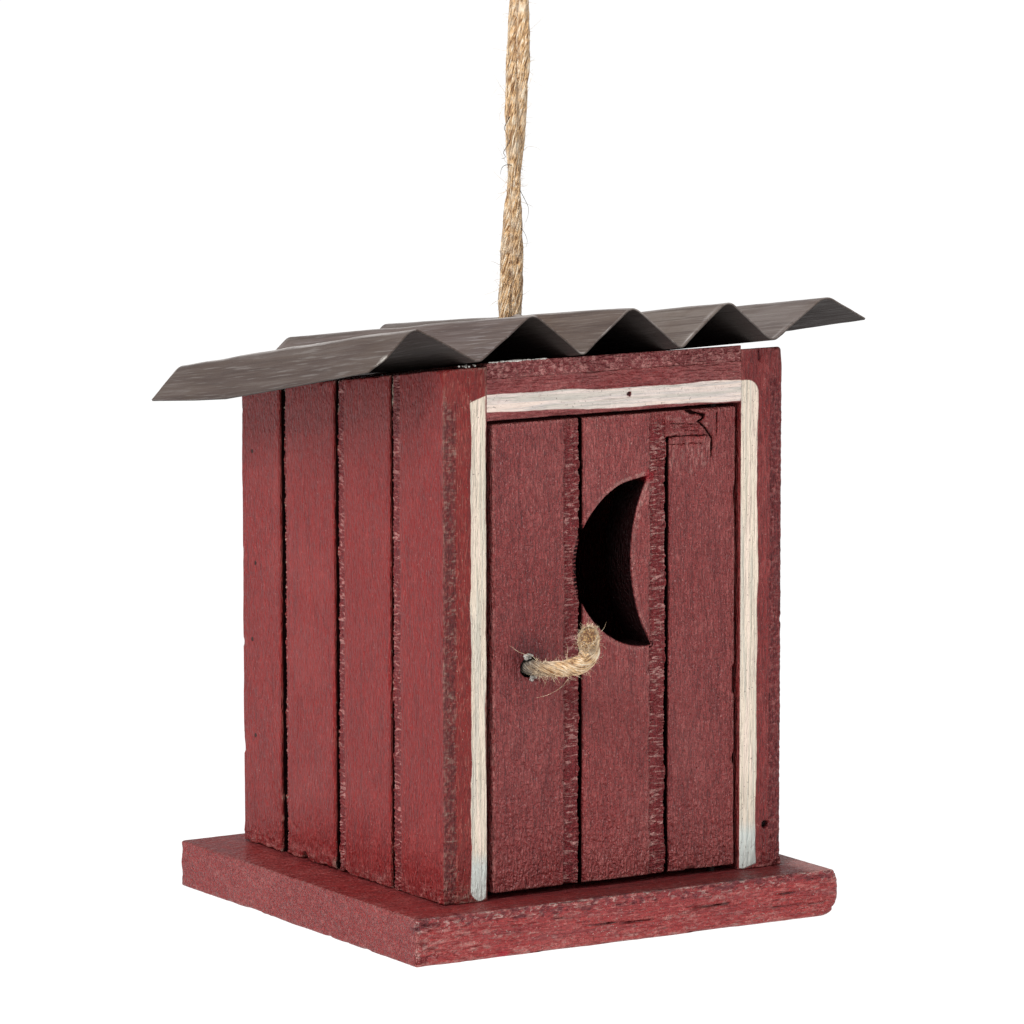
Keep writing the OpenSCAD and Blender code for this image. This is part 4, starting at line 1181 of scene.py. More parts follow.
def header_detail(B, P, cav, wear_and_highlight):
    x, y, z = B.T
    f = np.clip(1 - (y + HD) / 5, 0, 1)
    ridge = noise(x * 0.07 + 0.15 * z, z * 2.4, 0, 302)
    d = 0.06 * (noise(x * 0.08, z * 0.4, 0, 301) + 1) + 0.10 * (ridge + 1)
    # the lower arris is bevelled, and darkened below as painted shade
    d = d * smooth(37.6, 33.5, np.abs(x)) + 0.05
    d = d + 0.5 * smooth(133.4, 132.2, z) * (0.6 + 0.4 * noise(x * 0.2, 0, 0, 303))
    d = d + dimple(x, z, 4.3, 136.2, 0.9, 0.5)
    # painted shade in the dimple, along the lower arris and in the streaks' hollows; painted highlight on their ridges
    cav = np.maximum(cav, f * np.maximum(dimple(x, z, 4.3, 136.2, 0.8, 0.95), 0.35 * smooth(133.1, 132.2, z)))
    cav = np.maximum(cav, f * smooth(0.35, 0.7, ridge) * 0.18)
    wear_and_highlight = np.maximum(wear_and_highlight, f * smooth(-0.3, -0.65, ridge) * smooth(0.0, 0.5, noise(x * 0.1, z * 0.8, 2, 305)) * 0.6)
    P[:, 1] += d * f
    return P, cav, wear_and_highlight, 0.12 * f


def header_shape(B, P):
    y = B[:, 1]
    H = deck_lo(-HD) - HEAD_Z
    P[:, 2] = HEAD_Z + (P[:, 2] - HEAD_Z) / H * (deck_lo(y) - HEAD_Z)
    return P


plain_block("header_board", (-IW, -HD, HEAD_Z), (IW, -HD + 12.5, deck_lo(-HD)), (0.6, 1.2, 0.4), 301, M_HEADER, ["header"], header_shape,
            base_r=0.35, amp=0.12, big=0.5, detail=header_detail, tight=lambda P: np.abs(P[:, 0]) > IW - 0.6)


# deck
def deck_detail(B, P, cav, wear_and_highlight):
    x, y, z = B.T
    f = np.clip(1 - (y + HD) / 4, 0, 1)
    u = x + 0.5 * z
    lump = noise(u * 0.95 + 0.4 * noise(x * 0.3, z * 0.6, 0, 413), z * 0.75, 0, 411) + 0.55 * noise(u * 1.9, z * 1.5, 0, 412)
    P[:, 1] += f * (0.18 + 0.22 * np.clip(-lump, -0.7, 1.0))
    # painted shade in the deepest pits, painted highlight on the raised lumps
    cav = np.maximum(cav, f * smooth(-0.35, -0.9, lump) * 0.45)
    wear_and_highlight = np.maximum(wear_and_highlight, f * smooth(0.25, 0.7, lump) * 0.8)
    return P, cav, wear_and_highlight, 0.75 * f


def deck_shape(B, P):
    P[:, 2] += -(P[:, 1] + HD) * FALL
    return P


deck = plain_block("roof_deck_board", (-IW, -HD, TOP_F + DECK_UP - DECK_T), (IW, HD, TOP_F + DECK_UP), (0.55, 1.6, 0.45), 401, M_DECK, ["roof_deck"], deck_shape,
                   base_r=0.3, amp=0.1, big=0.5, detail=deck_detail)


def disc_ring(cx, cy, r, n=40, wob=0.0, seed=0):
    return [(cx + (r + wob * float(noise(np.array([math.cos(2 * math.pi * k / n) * 1.5 + seed]), np.array([math.sin(2 * math.pi * k / n) * 1.5]), 0, 9)[0])) * math.cos(2 * math.pi * k / n),
             cy + (r + wob * float(noise(np.array([math.cos(2 * math.pi * k / n) * 1.5 + seed]), np.array([math.sin(2 * math.pi * k / n) * 1.5]), 0, 9)[0])) * math.sin(2 * math.pi * k / n)) for k in range(n)]


def z_cutter(cx, cy, r, z0, z1, wob=0.0, seed=0):
    """An upright round cutter."""
    ring = disc_ring(cx, cy, r, 40, wob, seed)
    pts = [(a, b, z0) for a, b in ring] + [(a, b, z1) for a, b in ring]
    n = len(ring)
    faces = [(k, (k + 1) % n, (k + 1) % n + n, k + n) for k in range(n)] + [tuple(range(n - 1, -1, -1)), tuple(range(n, 2 * n))]
    me = bpy.data.meshes.new("cutter")
    me.from_pydata([tuple(np.array(p) * MM) for p in pts], [], faces)
    o = bpy.data.objects.new("cutter", me)
    scene.collection.objects.link(o)
    return o


boolean_cut(deck, [z_cutter(HOLE[0], HOLE[1], 3.8, top_z(6) - 12, top_z(6) + 12)])
if deck.data.attributes.get("cav") is None:
    set_attribute(deck.data, "cav", np.zeros(len(deck.data.vertices)))
    set_attribute(deck.data, "wear_and_highlight", np.zeros(len(deck.data.vertices)))


# back wall
def back_shape(B, P):
    y = B[:, 1]
    H = deck_lo(HD - WALL_T) - BASE_T
    P[:, 2] = BASE_T + (P[:, 2] - BASE_T) / H * (deck_lo(y) - BASE_T)
    return P


def back_detail(B, P, cav, wear_and_highlight):
    x, y, z = B.T
    f = np.clip(1 - (HD - y) / 5, 0, 1)
    P[:, 1] -= f * (0.10 * (fbm(x * 0.07, z * 0.012, 0, 502) + 1))
    return P, cav, wear_and_highlight, 0 * f


plain_block("back_wall_board", (-IW, HD - WALL_T, BASE_T), (IW, HD, deck_lo(HD - WALL_T)), (1.0, 1.4, 1.0), 501, M_BACK, ["back_wall"], back_shape,
            base_r=0.35, amp=0.12, big=0.5, detail=back_detail)


# base board
def base_detail(B, P, cav, wear_and_highlight):
    x, y, z = B.T
    x0, x1, y0, y1 = -64.5, 61.0, -62.0, 59.5

    def turn(a, b, ca, cb):
        """Points beyond both centres move from a square corner to a round one."""
        da, db = a - ca, b - cb
        m_ = np.maximum(np.abs(da), np.abs(db))
        k = (np.abs(da) > 1e-6) & (np.abs(db) > 1e-6)
        sc = np.where(k, m_ / np.maximum(np.hypot(da, db), 1e-9), 1)
        return ca + da * sc, cb + db * sc
    # corners seen from above are a little rounded
    r = 0.9 + 0.35 * noise(z * 0.3, x * 0.05, 0, 601) + np.where((x > 0) & (y < 0), 0.8, 0)
    P[:, 0], P[:, 1] = turn(P[:, 0], P[:, 1], np.clip(P[:, 0], x0 + r, x1 - r), np.clip(P[:, 1], y0 + r, y1 - r))
    # the right end is rounded above and below
    rr = np.where(z > 7, 3.3, 5.6)
    P[:, 0], P[:, 2] = turn(P[:, 0], P[:, 2], np.minimum(P[:, 0], x1 - rr), np.clip(P[:, 2], 5.6, 12 - 3.3))
    # sawn front: long slanted fibres, a crumbling upper edge, pale scuffs
    ff = np.clip(1 - (y - y0) / 5, 0, 1)
    zs_ = z + 0.035 * x
    fibre = noise(x * 0.11, zs_ * 1.5, 0, 602) + 0.6 * noise(x * 0.3, zs_ * 3.0, 0, 603)
    crumb = noise(x * 0.75 + 0.3 * z, z * 1.05, 0, 604) + 0.6 * noise(x * 1.6, z * 2.0, 0, 605)
    edge_z = 9.4 + 0.7 * noise(x * 0.12, 0, 0, 606) + 0.4 * noise(x * 0.6, 0, 0, 607)
    top_band = smooth(edge_z - 0.35, edge_z + 0.35, z)
    depth = 0.16 + 0.14 * np.clip(fibre, -0.9, 1)
    depth = depth + top_band * (0.20 + 0.26 * np.clip(-crumb, -0.7, 1))
    slit = smooth(0.62, 0.80, noise(x * 0.045, zs_ * 1.25, 3, 608)) * (1 - top_band)
    depth = depth + 0.45 * slit
    near_l = smooth(-50, -63.5, x)
    splint = smooth(0.0, 0.45, noise(x * 0.45 + 2, zs_ * 1.35, 3, 609)) * near_l
    depth = depth + 0.55 * splint
    P[:, 1] += depth * ff
    # painted shade in the crumbled edge's pits, the slits, the splinters and between the fibres
    cav = np.maximum(cav, ff * np.clip(top_band * (0.16 + smooth(-0.15, -0.75, crumb) * 0.50) + 0.30 * slit + 0.26 * splint + (1 - top_band) * smooth(0.35, 0.85, fibre) * 0.22, 0, 1))
    scuff = smooth(0.18, 0.55, noise(x * 0.085, zs_ * 0.55, 1, 610)) * smooth(0.1, 0.5, noise(x * 0.5, zs_ * 2.2, 4, 611)) * (1 - top_band)
    wear_and_highlight = np.maximum(wear_and_highlight, ff * scuff * 0.42)
    wear_and_highlight = np.maximum(wear_and_highlight, ff * top_band * smooth(0.4, 0.85, crumb) * 0.40)
    fl = np.clip(1 - (x - x0) / 5, 0, 1)
    pit = smooth(0.25, 0.7, noise(y * 1.0, z * 1.0, 0, 612))
    grain = noise(y * 0.16, z * 1.6, 0, 613)
    P[:, 0] += fl * (0.04 + 0.07 * pit + 0.05 * (noise(y * 0.12, z * 0.2, 0, 614) + 1) + 0.05 * (grain + 1))
    # painted shade in the left end's pits and grain
    cav = np.maximum(cav, fl * np.maximum(pit * 0.12, smooth(0.4, 0.8, grain) * 0.15))
    wear_and_highlight = np.maximum(wear_and_highlight, fl * smooth(-0.45, -0.8, noise(y * 0.9, z * 0.9, 0, 615)) * 0.34)
    fr = np.clip(1 - (x1 - x) / 5, 0, 1)
    P[:, 0] -= fr * (0.06 + 0.16 * smooth(0.35, 0.75, noise(y * 0.9, z * 0.9, 0, 616)))
    fb = np.clip(1 - (y1 - y) / 5, 0, 1)
    P[:, 1] -= fb * (0.08 + 0.3 * np.clip(fbm(x * 0.05, z * 0.9, 0, 617), 0, 1))
    # bruises on the lower left edges
    low = np.exp(-((y - 20) / 10) ** 2) * fl * smooth(3.0, 0.0, z)
    P[:, 2] += low * 0.5 * (0.5 + 0.5 * noise(y * 0.4, 0, 0, 618))
    # painted shadow on the top beside the walls' feet
    on_top = np.clip(1 - (12 - z) / 1.0, 0, 1)
    near_wall = smooth(4.5, 0.0, np.maximum(np.abs(x) - 50, np.abs(y) - 51) + 1.2 * noise(x * 0.5, y * 0.5, 0, 619))
    cav = np.maximum(cav, on_top * near_wall * 0.38)
    return P, cav, wear_and_highlight, np.clip(0.30 * top_band * ff + 0.12 * ff + 0.20 * fl, 0, 1)


plain_block("base_plank", (-64.5, -62.0, 0.0), (61.0, 59.5, 12.0), (0.75, 0.9, 0.4), 601, M_BASE, ["base_board"],
            base_r=0.6, amp=0.2, big=0.9, chance=0.6, detail=base_detail)

# ---------------------------------------------------------------- door
ex = kerf_lines(DOOR_CUTS)
ex.append((17, DX1, 0.24))
xs = lines(DX0, DX1, 0.7, ex)
ys = lines(DY0, DY1, 1.3)
zs = lines(DZ0, DZ1, 0.34, [(117, DZ1 - 0.5, 0.24)])
P, Q = lattice(xs, ys, zs)
lo, hi = np.array([DX0, DY0, DZ0]), np.array([DX1, DY1, DZ1])
B = P.copy()
rad = edge_radius(P, lo, hi, 0.5, 0.2, 701, 1.0, 0.55)
closeness = edge_closeness(P, lo, hi, 1.0)
P = round_edges(P, lo, hi, rad)
x, y, z = B.T
depth, dark, wear_and_glint, band_d, kerf = groove_depth(x, z, DOOR_CUTS, -1, 700, 0.95, 1.1, tops=(200, 124.6))
depth = depth + 0.08 * (fbm(x * 0.07, z * 0.015, 0, 703) + 0.3)


def near_line(u, v, line, w, ends=0.6):
    """1 on a polyline and 0 beyond its half width; it thins towards both ends."""
    line = np.array(line, float)
    seg = np.hypot(*np.diff(line, axis=0).T)
    run = np.concatenate([[0], np.cumsum(seg)])
    best, at = np.full(len(u), 1e9), np.zeros(len(u))
    for i in range(len(line) - 1):
        d_ = line[i + 1] - line[i]
        t_ = np.clip(((u - line[i, 0]) * d_[0] + (v - line[i, 1]) * d_[1]) / (d_ @ d_), 0, 1)
        dd = np.hypot(u - line[i, 0] - t_ * d_[0], v - line[i, 1] - t_ * d_[1])
        k_ = dd < best
        best = np.where(k_, dd, best)
        at = np.where(k_, run[i] + t_ * seg[i], at)
    taper = smooth(-0.2, ends, at) * smooth(run[-1] + 0.2, run[-1] - ends * 2.5, at)
    ww = w * (0.35 + 0.65 * taper) * (1 + 0.35 * noise(u * 1.1, v * 1.1, 0, 719))
    return smooth(ww + 0.14, ww * 0.35, best) * (taper > 0.02)


# splits and splinters in the top right corner of the door
jog = 0.10 * noise(x * 1.3, z * 1.3, 0, 720)
zig = [(21.6, 131.1), (23.7, 130.3), (25.4, 129.8), (26.7, 129.4), (26.3, 128.6), (25.0, 127.9), (26.6, 126.6), (27.5, 125.5), (28.0, 124.7), (29.0, 123.6), (29.0, 122.4), (28.84, 120.4), (28.75, 118.8)]
cracks = [near_line(x + jog, z, zig, 0.42), near_line(x + jog, z, [(21.4, 131.0), (22.6, 130.4), (23.9, 130.0)], 0.7, 0.3),
          near_line(x + jog, z, [(25.2, 129.8), (26.8, 129.3), (26.2, 128.4)], 0.55, 0.3),
          near_line(x + jog, z, [(30.46, 129.9), (30.5, 127.5), (30.4, 123.9)], 0.16),
          near_line(x, z + jog, [(15.25, 124.3), (16.9, 124.5), (21.6, 124.5), (25.4, 124.3), (27.8, 124.3)], 0.16) * 0.9,
          near_line(x, z + jog, [(16.0, 122.7), (18.8, 122.4), (22.1, 122.5), (25.9, 122.3)], 0.10) * 0.6,
          near_line(x, z + jog, [(16.9, 127.8), (19.7, 127.7), (23.0, 127.4), (26.3, 127.2)], 0.12) * 0.65,
          near_line(x, z + jog, [(17.6, 127.0), (21.6, 126.6), (24.9, 126.6)], 0.09) * 0.5,
          near_line(x + jog, z, [(32.6, 130.0), (33.4, 127.5), (32.9, 125.4)], 0.10) * 0.5,
          near_line(x + jog, z, [(26.2, 126.0), (24.0, 125.6), (21.0, 125.9)], 0.10) * 0.5]
crack = np.maximum.reduce(cracks)
above = smooth(14.6, 15.8, x) * smooth(28.4, 27.6, x) * smooth(124.4, 124.8, z)
scratch = smooth(-0.1, 0.45, noise(x * 2.0, z * 0.40, 5, 721)) * smooth(15.8, 17, x) * smooth(30.5, 27, x) * smooth(115.0, 117.5, z + 1.5 * noise(x * 0.4, 0, 0, 722)) * smooth(123.9, 122.5, z)
flank = np.maximum(near_line(x + jog + 0.55, z - 0.2, zig, 0.35) * 0.7, above * smooth(0.3, 0.6, noise(x * 0.5, z * 2.4, 0, 723)) * 0.6)
depth = depth + 0.55 * crack + above * (0.10 + 0.14 * noise(x * 0.35, z * 1.4, 0, 717)) - 0.12 * flank
# painted shade over the rough patch above the split
dark = np.maximum(dark, above * 0.10)
wear_and_glint = np.maximum.reduce([wear_and_glint, (scratch * 0.95 + flank) * (1 - crack), smooth(0.4, 0.15, np.abs(x - 35.9)) * smooth(117.5, 118.5, z) * smooth(123.5, 122.5, z) * 0.9])
# the cracks painted dark as painted shade
kerf = np.maximum(kerf, smooth(0.25, 0.85, crack) * 0.32)
band_d = np.maximum(band_d * smooth(131, 126, z), above * 0.35)
f_in = np.clip(1 - (y - DY0) / 7.0, 0, 1)
P[:, 1] += depth * f_in
on_front = np.clip(1 - (y - DY0) / 0.9, 0, 1)
me = fast_mesh("door_board", P, Q)
door = add("door_board", me, M_DOOR, "door", ["door_panel"])
# keep what each lattice point knows, to give it back after the cut
from mathutils.kdtree import KDTree
front_pts = P[on_front > 0.5]
front_cav = (dark * on_front)[on_front > 0.5]
# edges lightened as wear and as painted highlight
front_wear_and_highlight = np.maximum(wear_and_glint * on_front, closeness * (0.55 + 0.35 * noise(x * 0.3, z * 0.3, 0, 790)))[on_front > 0.5]
front_band = (band_d * on_front)[on_front > 0.5]
front_kerf = (kerf * on_front)[on_front > 0.5]

MOON_X, MOON_Z, MOON_R, MOON_RI, MOON_LEAN = 10.2, 93.6, 21.4, 43.9, math.radians(1.7)


def moon_outline(grow=0.0, n=56):
    """The crescent's outline in the door's plane, grown by some mm."""
    R, Ri, dx = MOON_R + grow, MOON_RI - grow, 38.5
    cx = (R * R - Ri * Ri + dx * dx) / (2 * dx)
    h = math.sqrt(max(R * R - cx * cx, 0.0))
    a0 = math.atan2(h, cx)
    out = []
    for k in range(n + 1):
        a = a0 + (2 * math.pi - 2 * a0) * k / n
        out.append((R * math.cos(a), R * math.sin(a)))
    b0 = math.atan2(h, cx - dx)
    for k in range(1, n):
        b = -b0 + 2 * b0 * k / n  # runs back along the inner arc
        b = (2 * math.pi - b0) - (2 * math.pi - 2 * b0) * k / n
        out.append((dx + Ri * math.cos(b), Ri * math.sin(b)))
    pts = []
    for i, (a, b) in enumerate(out):
        w = 0.16 * float(noise(np.array([a * 0.25]), np.array([b * 0.25]), 0, 731)[0]) + 0.08 * float(noise(np.array([a * 0.8]), np.array([b * 0.8]), 0, 732)[0])
        a, b = a * (1 + w / 22), b * (1 + w / 22)
        pts.append((MOON_X + a * math.cos(MOON_LEAN) - b * math.sin(MOON_LEAN), MOON_Z + a * math.sin(MOON_LEAN) + b * math.cos(MOON_LEAN)))
    return pts


cut_moon = prism(None, [(DY0 - 1.2, moon_outline(1.2)), (DY0 + 0.45, moon_outline(0.0)), (DY1 - 0.4, moon_outline(0.0)), (DY1 + 1.0, moon_outline(1.2))])
cut_pull = prism(None, [(DY0 - 1.0, disc_ring(PULL[0], PULL[1], 3.5, 36, 0.2)), (DY0 + 0.5, disc_ring(PULL[0], PULL[1], 2.4, 36, 0.15)),
                        (DY1 + 1.0, disc_ring(PULL[0], PULL[1], 2.4, 36, 0.1))])
boolean_cut(door, [cut_moon, cut_pull])
me = door.data
V = points_of(me)
tree = KDTree(len(front_pts))
for i, p_ in enumerate(front_pts):
    tree.insert(p_, i)
tree.balance()
cav = np.zeros(len(V))
wear_and_highlight = np.zeros(len(V))
band_k = np.zeros(len(V))
kerf_v = np.zeros(len(V))
for i, p_ in enumerate(V):
    if p_[1] < DY0 + 3.4:
        q_, k, d_ = tree.find(p_)
        if d_ < 0.7:
            cav[i] = front_cav[k]
            wear_and_highlight[i] = front_wear_and_highlight[k]
            band_k[i] = front_band[k]
            kerf_v[i] = front_kerf[k]
# the crescent's rim lighter, most on its upper right: wear and painted highlight
poly = np.array(moon_outline(0.0))
near = np.min(np.hypot(V[:, 0][:, None] - poly[None, :, 0], V[:, 2][:, None] - poly[None, :, 1]), axis=1)
rim = (near < 1.3) & (V[:, 1] < DY0 + 0.5)
right_up = smooth(-6, 6, (V[:, 0] - MOON_X) + (V[:, 2] - MOON_Z) * 0.5)
wear_and_highlight[rim] = np.maximum(wear_and_highlight[rim], 0.35 + 0.6 * right_up[rim])
# the crescent's inner walls painted near black as painted shade
inside = (near < 0.8) & (V[:, 1] > DY0 + 0.40)
kerf_v[inside] = 0.24
cav[inside] = 1.0
wear_and_highlight[inside] = 0
band_k[inside] = 0
# the pull's hole painted near black as painted shade
pull_d = np.hypot(V[:, 0] - PULL[0], V[:, 2] - PULL[1])
kerf_v[(pull_d < 3.1) & (V[:, 1] > DY0 + 0.3)] = 0.6
cav = np.maximum(cav, smooth(10.5, 2.0, np.hypot(V[:, 0] - PULL[0] + 0.5, V[:, 2] - PULL[1] - 2.5)) * 0.55 * (V[:, 1] < DY0 + 1))
tip = smooth(2.0, 0.9, np.hypot(V[:, 0] - 10.4, V[:, 2] - 115.0) + 0.5 * noise(V[:, 0] * 0.9, V[:, 2] * 0.9, 0, 733))
set_attribute(me, "fresh", np.clip(tip * 0.85, 0, 1))
set_attribute(me, "kerf", np.clip(kerf_v, 0, 1))
set_attribute(me, "cav", np.clip(cav, 0, 1))
set_attribute(me, "wear_and_highlight", np.clip(wear_and_highlight, 0, 1))
set_attribute(me, "band", np.clip(band_k, 0, 1))
me.materials.clear()
me.materials.append(M_DOOR)
finish_shading(me, 42)

# ---------------------------------------------------------------- roof sheet
SLOPE, YAW = math.radians(8.4), math.radians(-2.4)
S_LEN, S_FRONT, S_T = 131.0, 7.0, 0.5
# each fold: place across at the front and at the rear, then its height along the sheet
FOLDS = [
    (-71.0, -71.0, [(-7, 0.75), (-2.8, 0.57), (34, -0.84), (68, -2.0), (78, -2.31), (97, -1.91), (119.7, -1.09), (124, -0.95)]),
    (-59.96, -60.6, [(-8, 10.92), (-1, 10.91), (31, 10.23), (63, 9.56), (87, 8.99), (122, 8.04), (124, 8.0)]),
    (-42.74, -43.3, [(-8, 1.1), (60, 1.0), (124, 1.1)]),
    (-26.42, -26.6, [(-7, 12.39), (36, 12.85), (71, 13.19), (124, 13.69)]),
    (-13.24, -13.6, [(-7, 1.0), (124, 1.05)]),
    (1.98, 1.6, [(-8, 12.46), (9, 13.0), (62, 14.15), (123, 15.59), (124, 15.6)]),
    (14.82, 15.2, [(-7, 1.0), (124, 1.1)]),
    (29.42, 29.2, [(-8, 12.35), (33, 12.39), (124, 12.6)]),
    (41.66, 41.9, [(-7, 1.3), (124, 1.5)]),
    (58.18, 58.2, [(-7, 11.75), (36, 12.0), (124, 12.3)]),
    (69.28, 69.3, [(-8, 5.23), (29, 4.4), (124, 3.6)]),
]


def sheet_profile(v):
    """The folded section at one place along the sheet."""
    q_ = (v + S_FRONT) / S_LEN
    ctrl = [np.array([f[0] + (f[1] - f[0]) * q_, np.interp(v, [t[0] for t in f[2]], [t[1] for t in f[2]])]) for f in FOLDS]
    last = len(ctrl) - 1
    segs = []
    for i, b in enumerate(ctrl):
        if i in (0, last):
            segs.append([b])
            continue
        s_ = 2.6 if i % 2 else 1.6
        a0, a1 = ctrl[i - 1] - b, ctrl[i + 1] - b
        a = b + a0 / np.linalg.norm(a0) * s_
        c = b + a1 / np.linalg.norm(a1) * s_
        segs.append([(1 - t) ** 2 * a + 2 * t * (1 - t) * b + t * t * c for t in np.linspace(0, 1, 9)])
    out = []
    for i in range(last):
        out += segs[i]
        p_, q2 = segs[i][-1], segs[i + 1][0]
        out += [p_ + (q2 - p_) * k / 9 for k in range(1, 9)]
    out += segs[last]
    return np.array(out)


def on_roof(p):
    """Sheet coordinates (across, along, up) to the CAD frame."""
    p = np.asarray(p, float)
    a, b, h = p[..., 0], p[..., 1], p[..., 2]
    x1 = a * math.cos(YAW) - b * math.sin(YAW)
    y1 = a * math.sin(YAW) + b * math.cos(YAW)
    return np.stack([x1, -HD + y1 * math.cos(SLOPE) + h * math.sin(SLOPE), TOP_F - y1 * math.sin(SLOPE) + h * math.cos(SLOPE)], -1)


vs = lines(-S_FRONT, S_LEN - S_FRONT, 1.4, [(44, 66, 0.7)], edge=(0.15, 0.4, 0.8))
G = np.stack([sheet_profile(v) for v in vs], 1)
A, H = G[..., 0], G[..., 1]
T_ = np.gradient(G, axis=0)
nrm = np.stack([-T_[..., 1], T_[..., 0]], -1)
nrm /= np.linalg.norm(nrm, axis=-1, keepdims=True)
nrm = nrm * np.sign(nrm[..., 1:2] + 1e-9)
q = np.repeat(((vs + S_FRONT) / S_LEN)[None, :], A.shape[0], 0)
# the edges aren't cut quite straight, and the front left corner is clipped
v_front = -7 + 4.2 * smooth(-67.6, -71.2, A) + 0.22 * noise(A * 0.09, 3.0, 0, 804)
v_rear = np.interp(A, [-71, -60.5, -26.5, 1.5, 70], [119.7, 121.9, 123.9, 123.4, 123]) + 0.25 * noise(A * 0.08, 7.0, 0, 805)
Bv = v_front + q * (v_rear - v_front)
# handled by hand: dents, and fine ripples along the folds
dent = 0.16 * noise(A * 0.10, Bv * 0.05, 0, 801) + 0.07 * noise(A * 0.35, Bv * 0.10, 0, 802) + 0.03 * noise(A * 0.9, Bv * 0.25, 0, 803)
dent = dent * smooth(1.6, 3.2, H)
top_s = np.stack([A + nrm[..., 0] * (S_T / 2 + dent), Bv, H + nrm[..., 1] * (S_T / 2 + dent)], -1)
bot_s = np.stack([A - nrm[..., 0] * (S_T / 2 - dent), Bv, H - nrm[..., 1] * (S_T / 2 - dent)], -1)
na, nb = A.shape
top_w, bot_w = on_roof(top_s).reshape(-1, 3), on_roof(bot_s).reshape(-1, 3)
ids = np.arange(na * nb).reshape(na, nb)


def grid_quads(g, flip):
    q_ = np.stack([g[:-1, :-1], g[1:, :-1], g[1:, 1:], g[:-1, 1:]], -1).reshape(-1, 4)
    return q_[:, ::-1] if flip else q_


off_ = na * nb
quads = [grid_quads(ids, False), grid_quads(ids + off_, True)]


def rim(a, b):
    return np.stack([a[:-1], a[1:], b[1:], b[:-1]], -1)


quads += [rim(ids[:, 0], ids[:, 0] + off_)[:, ::-1], rim(ids[:, -1], ids[:, -1] + off_), rim(ids[0], ids[0] + off_), rim(ids[-1], ids[-1] + off_)[:, ::-1]]
me = fast_mesh("roof_metal_sheet", np.concatenate([top_w, bot_w]), np.concatenate(quads))
me_fix(me)
roof = add("roof_metal_sheet", me, M_ROOF, "root", ["roof_sheet"])
zc = top_z(HOLE[1]) + 10
boolean_cut(roof, [z_cutter(HOLE[0], HOLE[1], 3.7, zc - 14, zc + 14, 0.35, 2)])
me = roof.data
V = points_of(me)
dh = np.hypot(V[:, 0] - HOLE[0], V[:, 1] - HOLE[1])
ang = np.arctan2(V[:, 1] - HOLE[1], V[:, 0] - HOLE[0])
burr = np.exp(-np.clip(dh - 3.7, 0, None) / 1.0) * (0.45 + 0.35 * noise(np.cos(ang) * 1.5, np.sin(ang) * 1.5, 0, 811) + 0.35 * (np.cos(ang + 0.3) > 0.5))
V[:, 2] += burr
me.vertices.foreach_set("co", (V * MM).ravel())
me.update()
# paler on the crests as painted highlight, along the cut edges as wear and painted highlight; dark underneath and round
# the rope hole as painted shade
loc = V.copy()
yy = (loc[:, 1] + HD)
back_along = yy * math.cos(SLOPE) - (loc[:, 2] - TOP_F) * math.sin(SLOPE)
nv = normals_of(me)
under = smooth(0.1, -0.3, nv[:, 2])
edge_f = np.maximum(smooth(0.7, 0.0, np.abs(back_along + S_FRONT)), smooth(1.0, 0.0, np.abs(S_LEN - S_FRONT - back_along)))
up_h = (loc[:, 2] - TOP_F) * math.cos(SLOPE) + yy * math.sin(SLOPE)
across = loc[:, 0] * math.cos(YAW) + (back_along) * math.sin(YAW)
ridge_x = np.array([-60.2, -26.5, 1.8, 29.3, 58.2])
dr = np.min(np.abs(across[:, None] - ridge_x[None, :]), axis=1)
rim_wear_and_highlight = np.where(across < -46, 1.1, 0.18 + 0.85 * smooth(0.1, 0.5, noise(across * 0.33, 2.0, 0, 817)))
# crests: painted highlight, a reflection along each crest line
crest = smooth(1.5, 0.7, dr) * np.where(across < -20, 1.12, 0.75) * (0.85 + 0.35 * noise(back_along * 0.12, across * 0.1, 0, 815))
valley = np.min(np.abs(across[:, None] - np.array([-13.4])[None, :]), axis=1)
corner = smooth(-67.0, -68.5, across) * smooth(-1.5, -3.6, back_along)
set_attribute(me, "wear_and_highlight", np.clip(np.maximum.reduce([edge_f * rim_wear_and_highlight, crest * 0.85, smooth(1.2, 0.4, valley) * 0.6]) * (1 - under), 0, 1))
set_attribute(me, "cav", np.clip(under * 0.85 + np.exp(-np.clip(dh - 3.7, 0, None) / 0.5) * 0.5, 0, 1))
set_attribute(me, "chip", np.clip(corner * (1 - under) * smooth(-0.7, -0.1, noise(loc[:, 0] * 1.1, loc[:, 1] * 1.1, 0, 816)), 0, 1))
me.materials.clear()
me.materials.append(M_ROOF)
finish_shading(me, 40)


# ---------------------------------------------------------------- glue
def blob(cx, cy, cz, rx, ry, rz, seed, n=20):
    th = np.linspace(0, 2 * math.pi, n, endpoint=False)
    ph = np.linspace(-math.pi / 2, math.pi / 2, n // 2 + 1)[1:-1]
    pts, quads = [], []
    for p_ in ph:
        for t in th:
            d = np.array([math.cos(p_) * math.cos(t), math.cos(p_) * math.sin(t), math.sin(p_)])
            k = 1 + 0.22 * float(noise(np.array([d[0] * 1.6 + seed]), np.array([d[1] * 1.6]), np.array([d[2] * 1.6]), seed)[0])
            pts.append([cx + rx * k * d[0], cy + ry * k * d[1], cz + rz * k * d[2]])
    m_ = len(ph)
    for i in range(m_ - 1):
        for j in range(n):
            quads.append([i * n + j, i * n + (j + 1) % n, (i + 1) * n + (j + 1) % n, (i + 1) * n + j])
    return np.array(pts), np.array(quads), [list(range(n - 1, -1, -1)), list(range((m_ - 1) * n, m_ * n))]


def join_blobs(name, blobs):
    P_, Q_, E_, k = [], [], [], 0
    for p_, q_, e_ in blobs:
        P_.append(p_)
        Q_.append(q_ + k)
        E_ += [[i + k for i in f] for f in e_]
        k += len(p_)
    me_ = fast_mesh(name, np.concatenate(P_), np.concatenate(Q_), E_)
    finish_shading(me_, 180)
    return me_


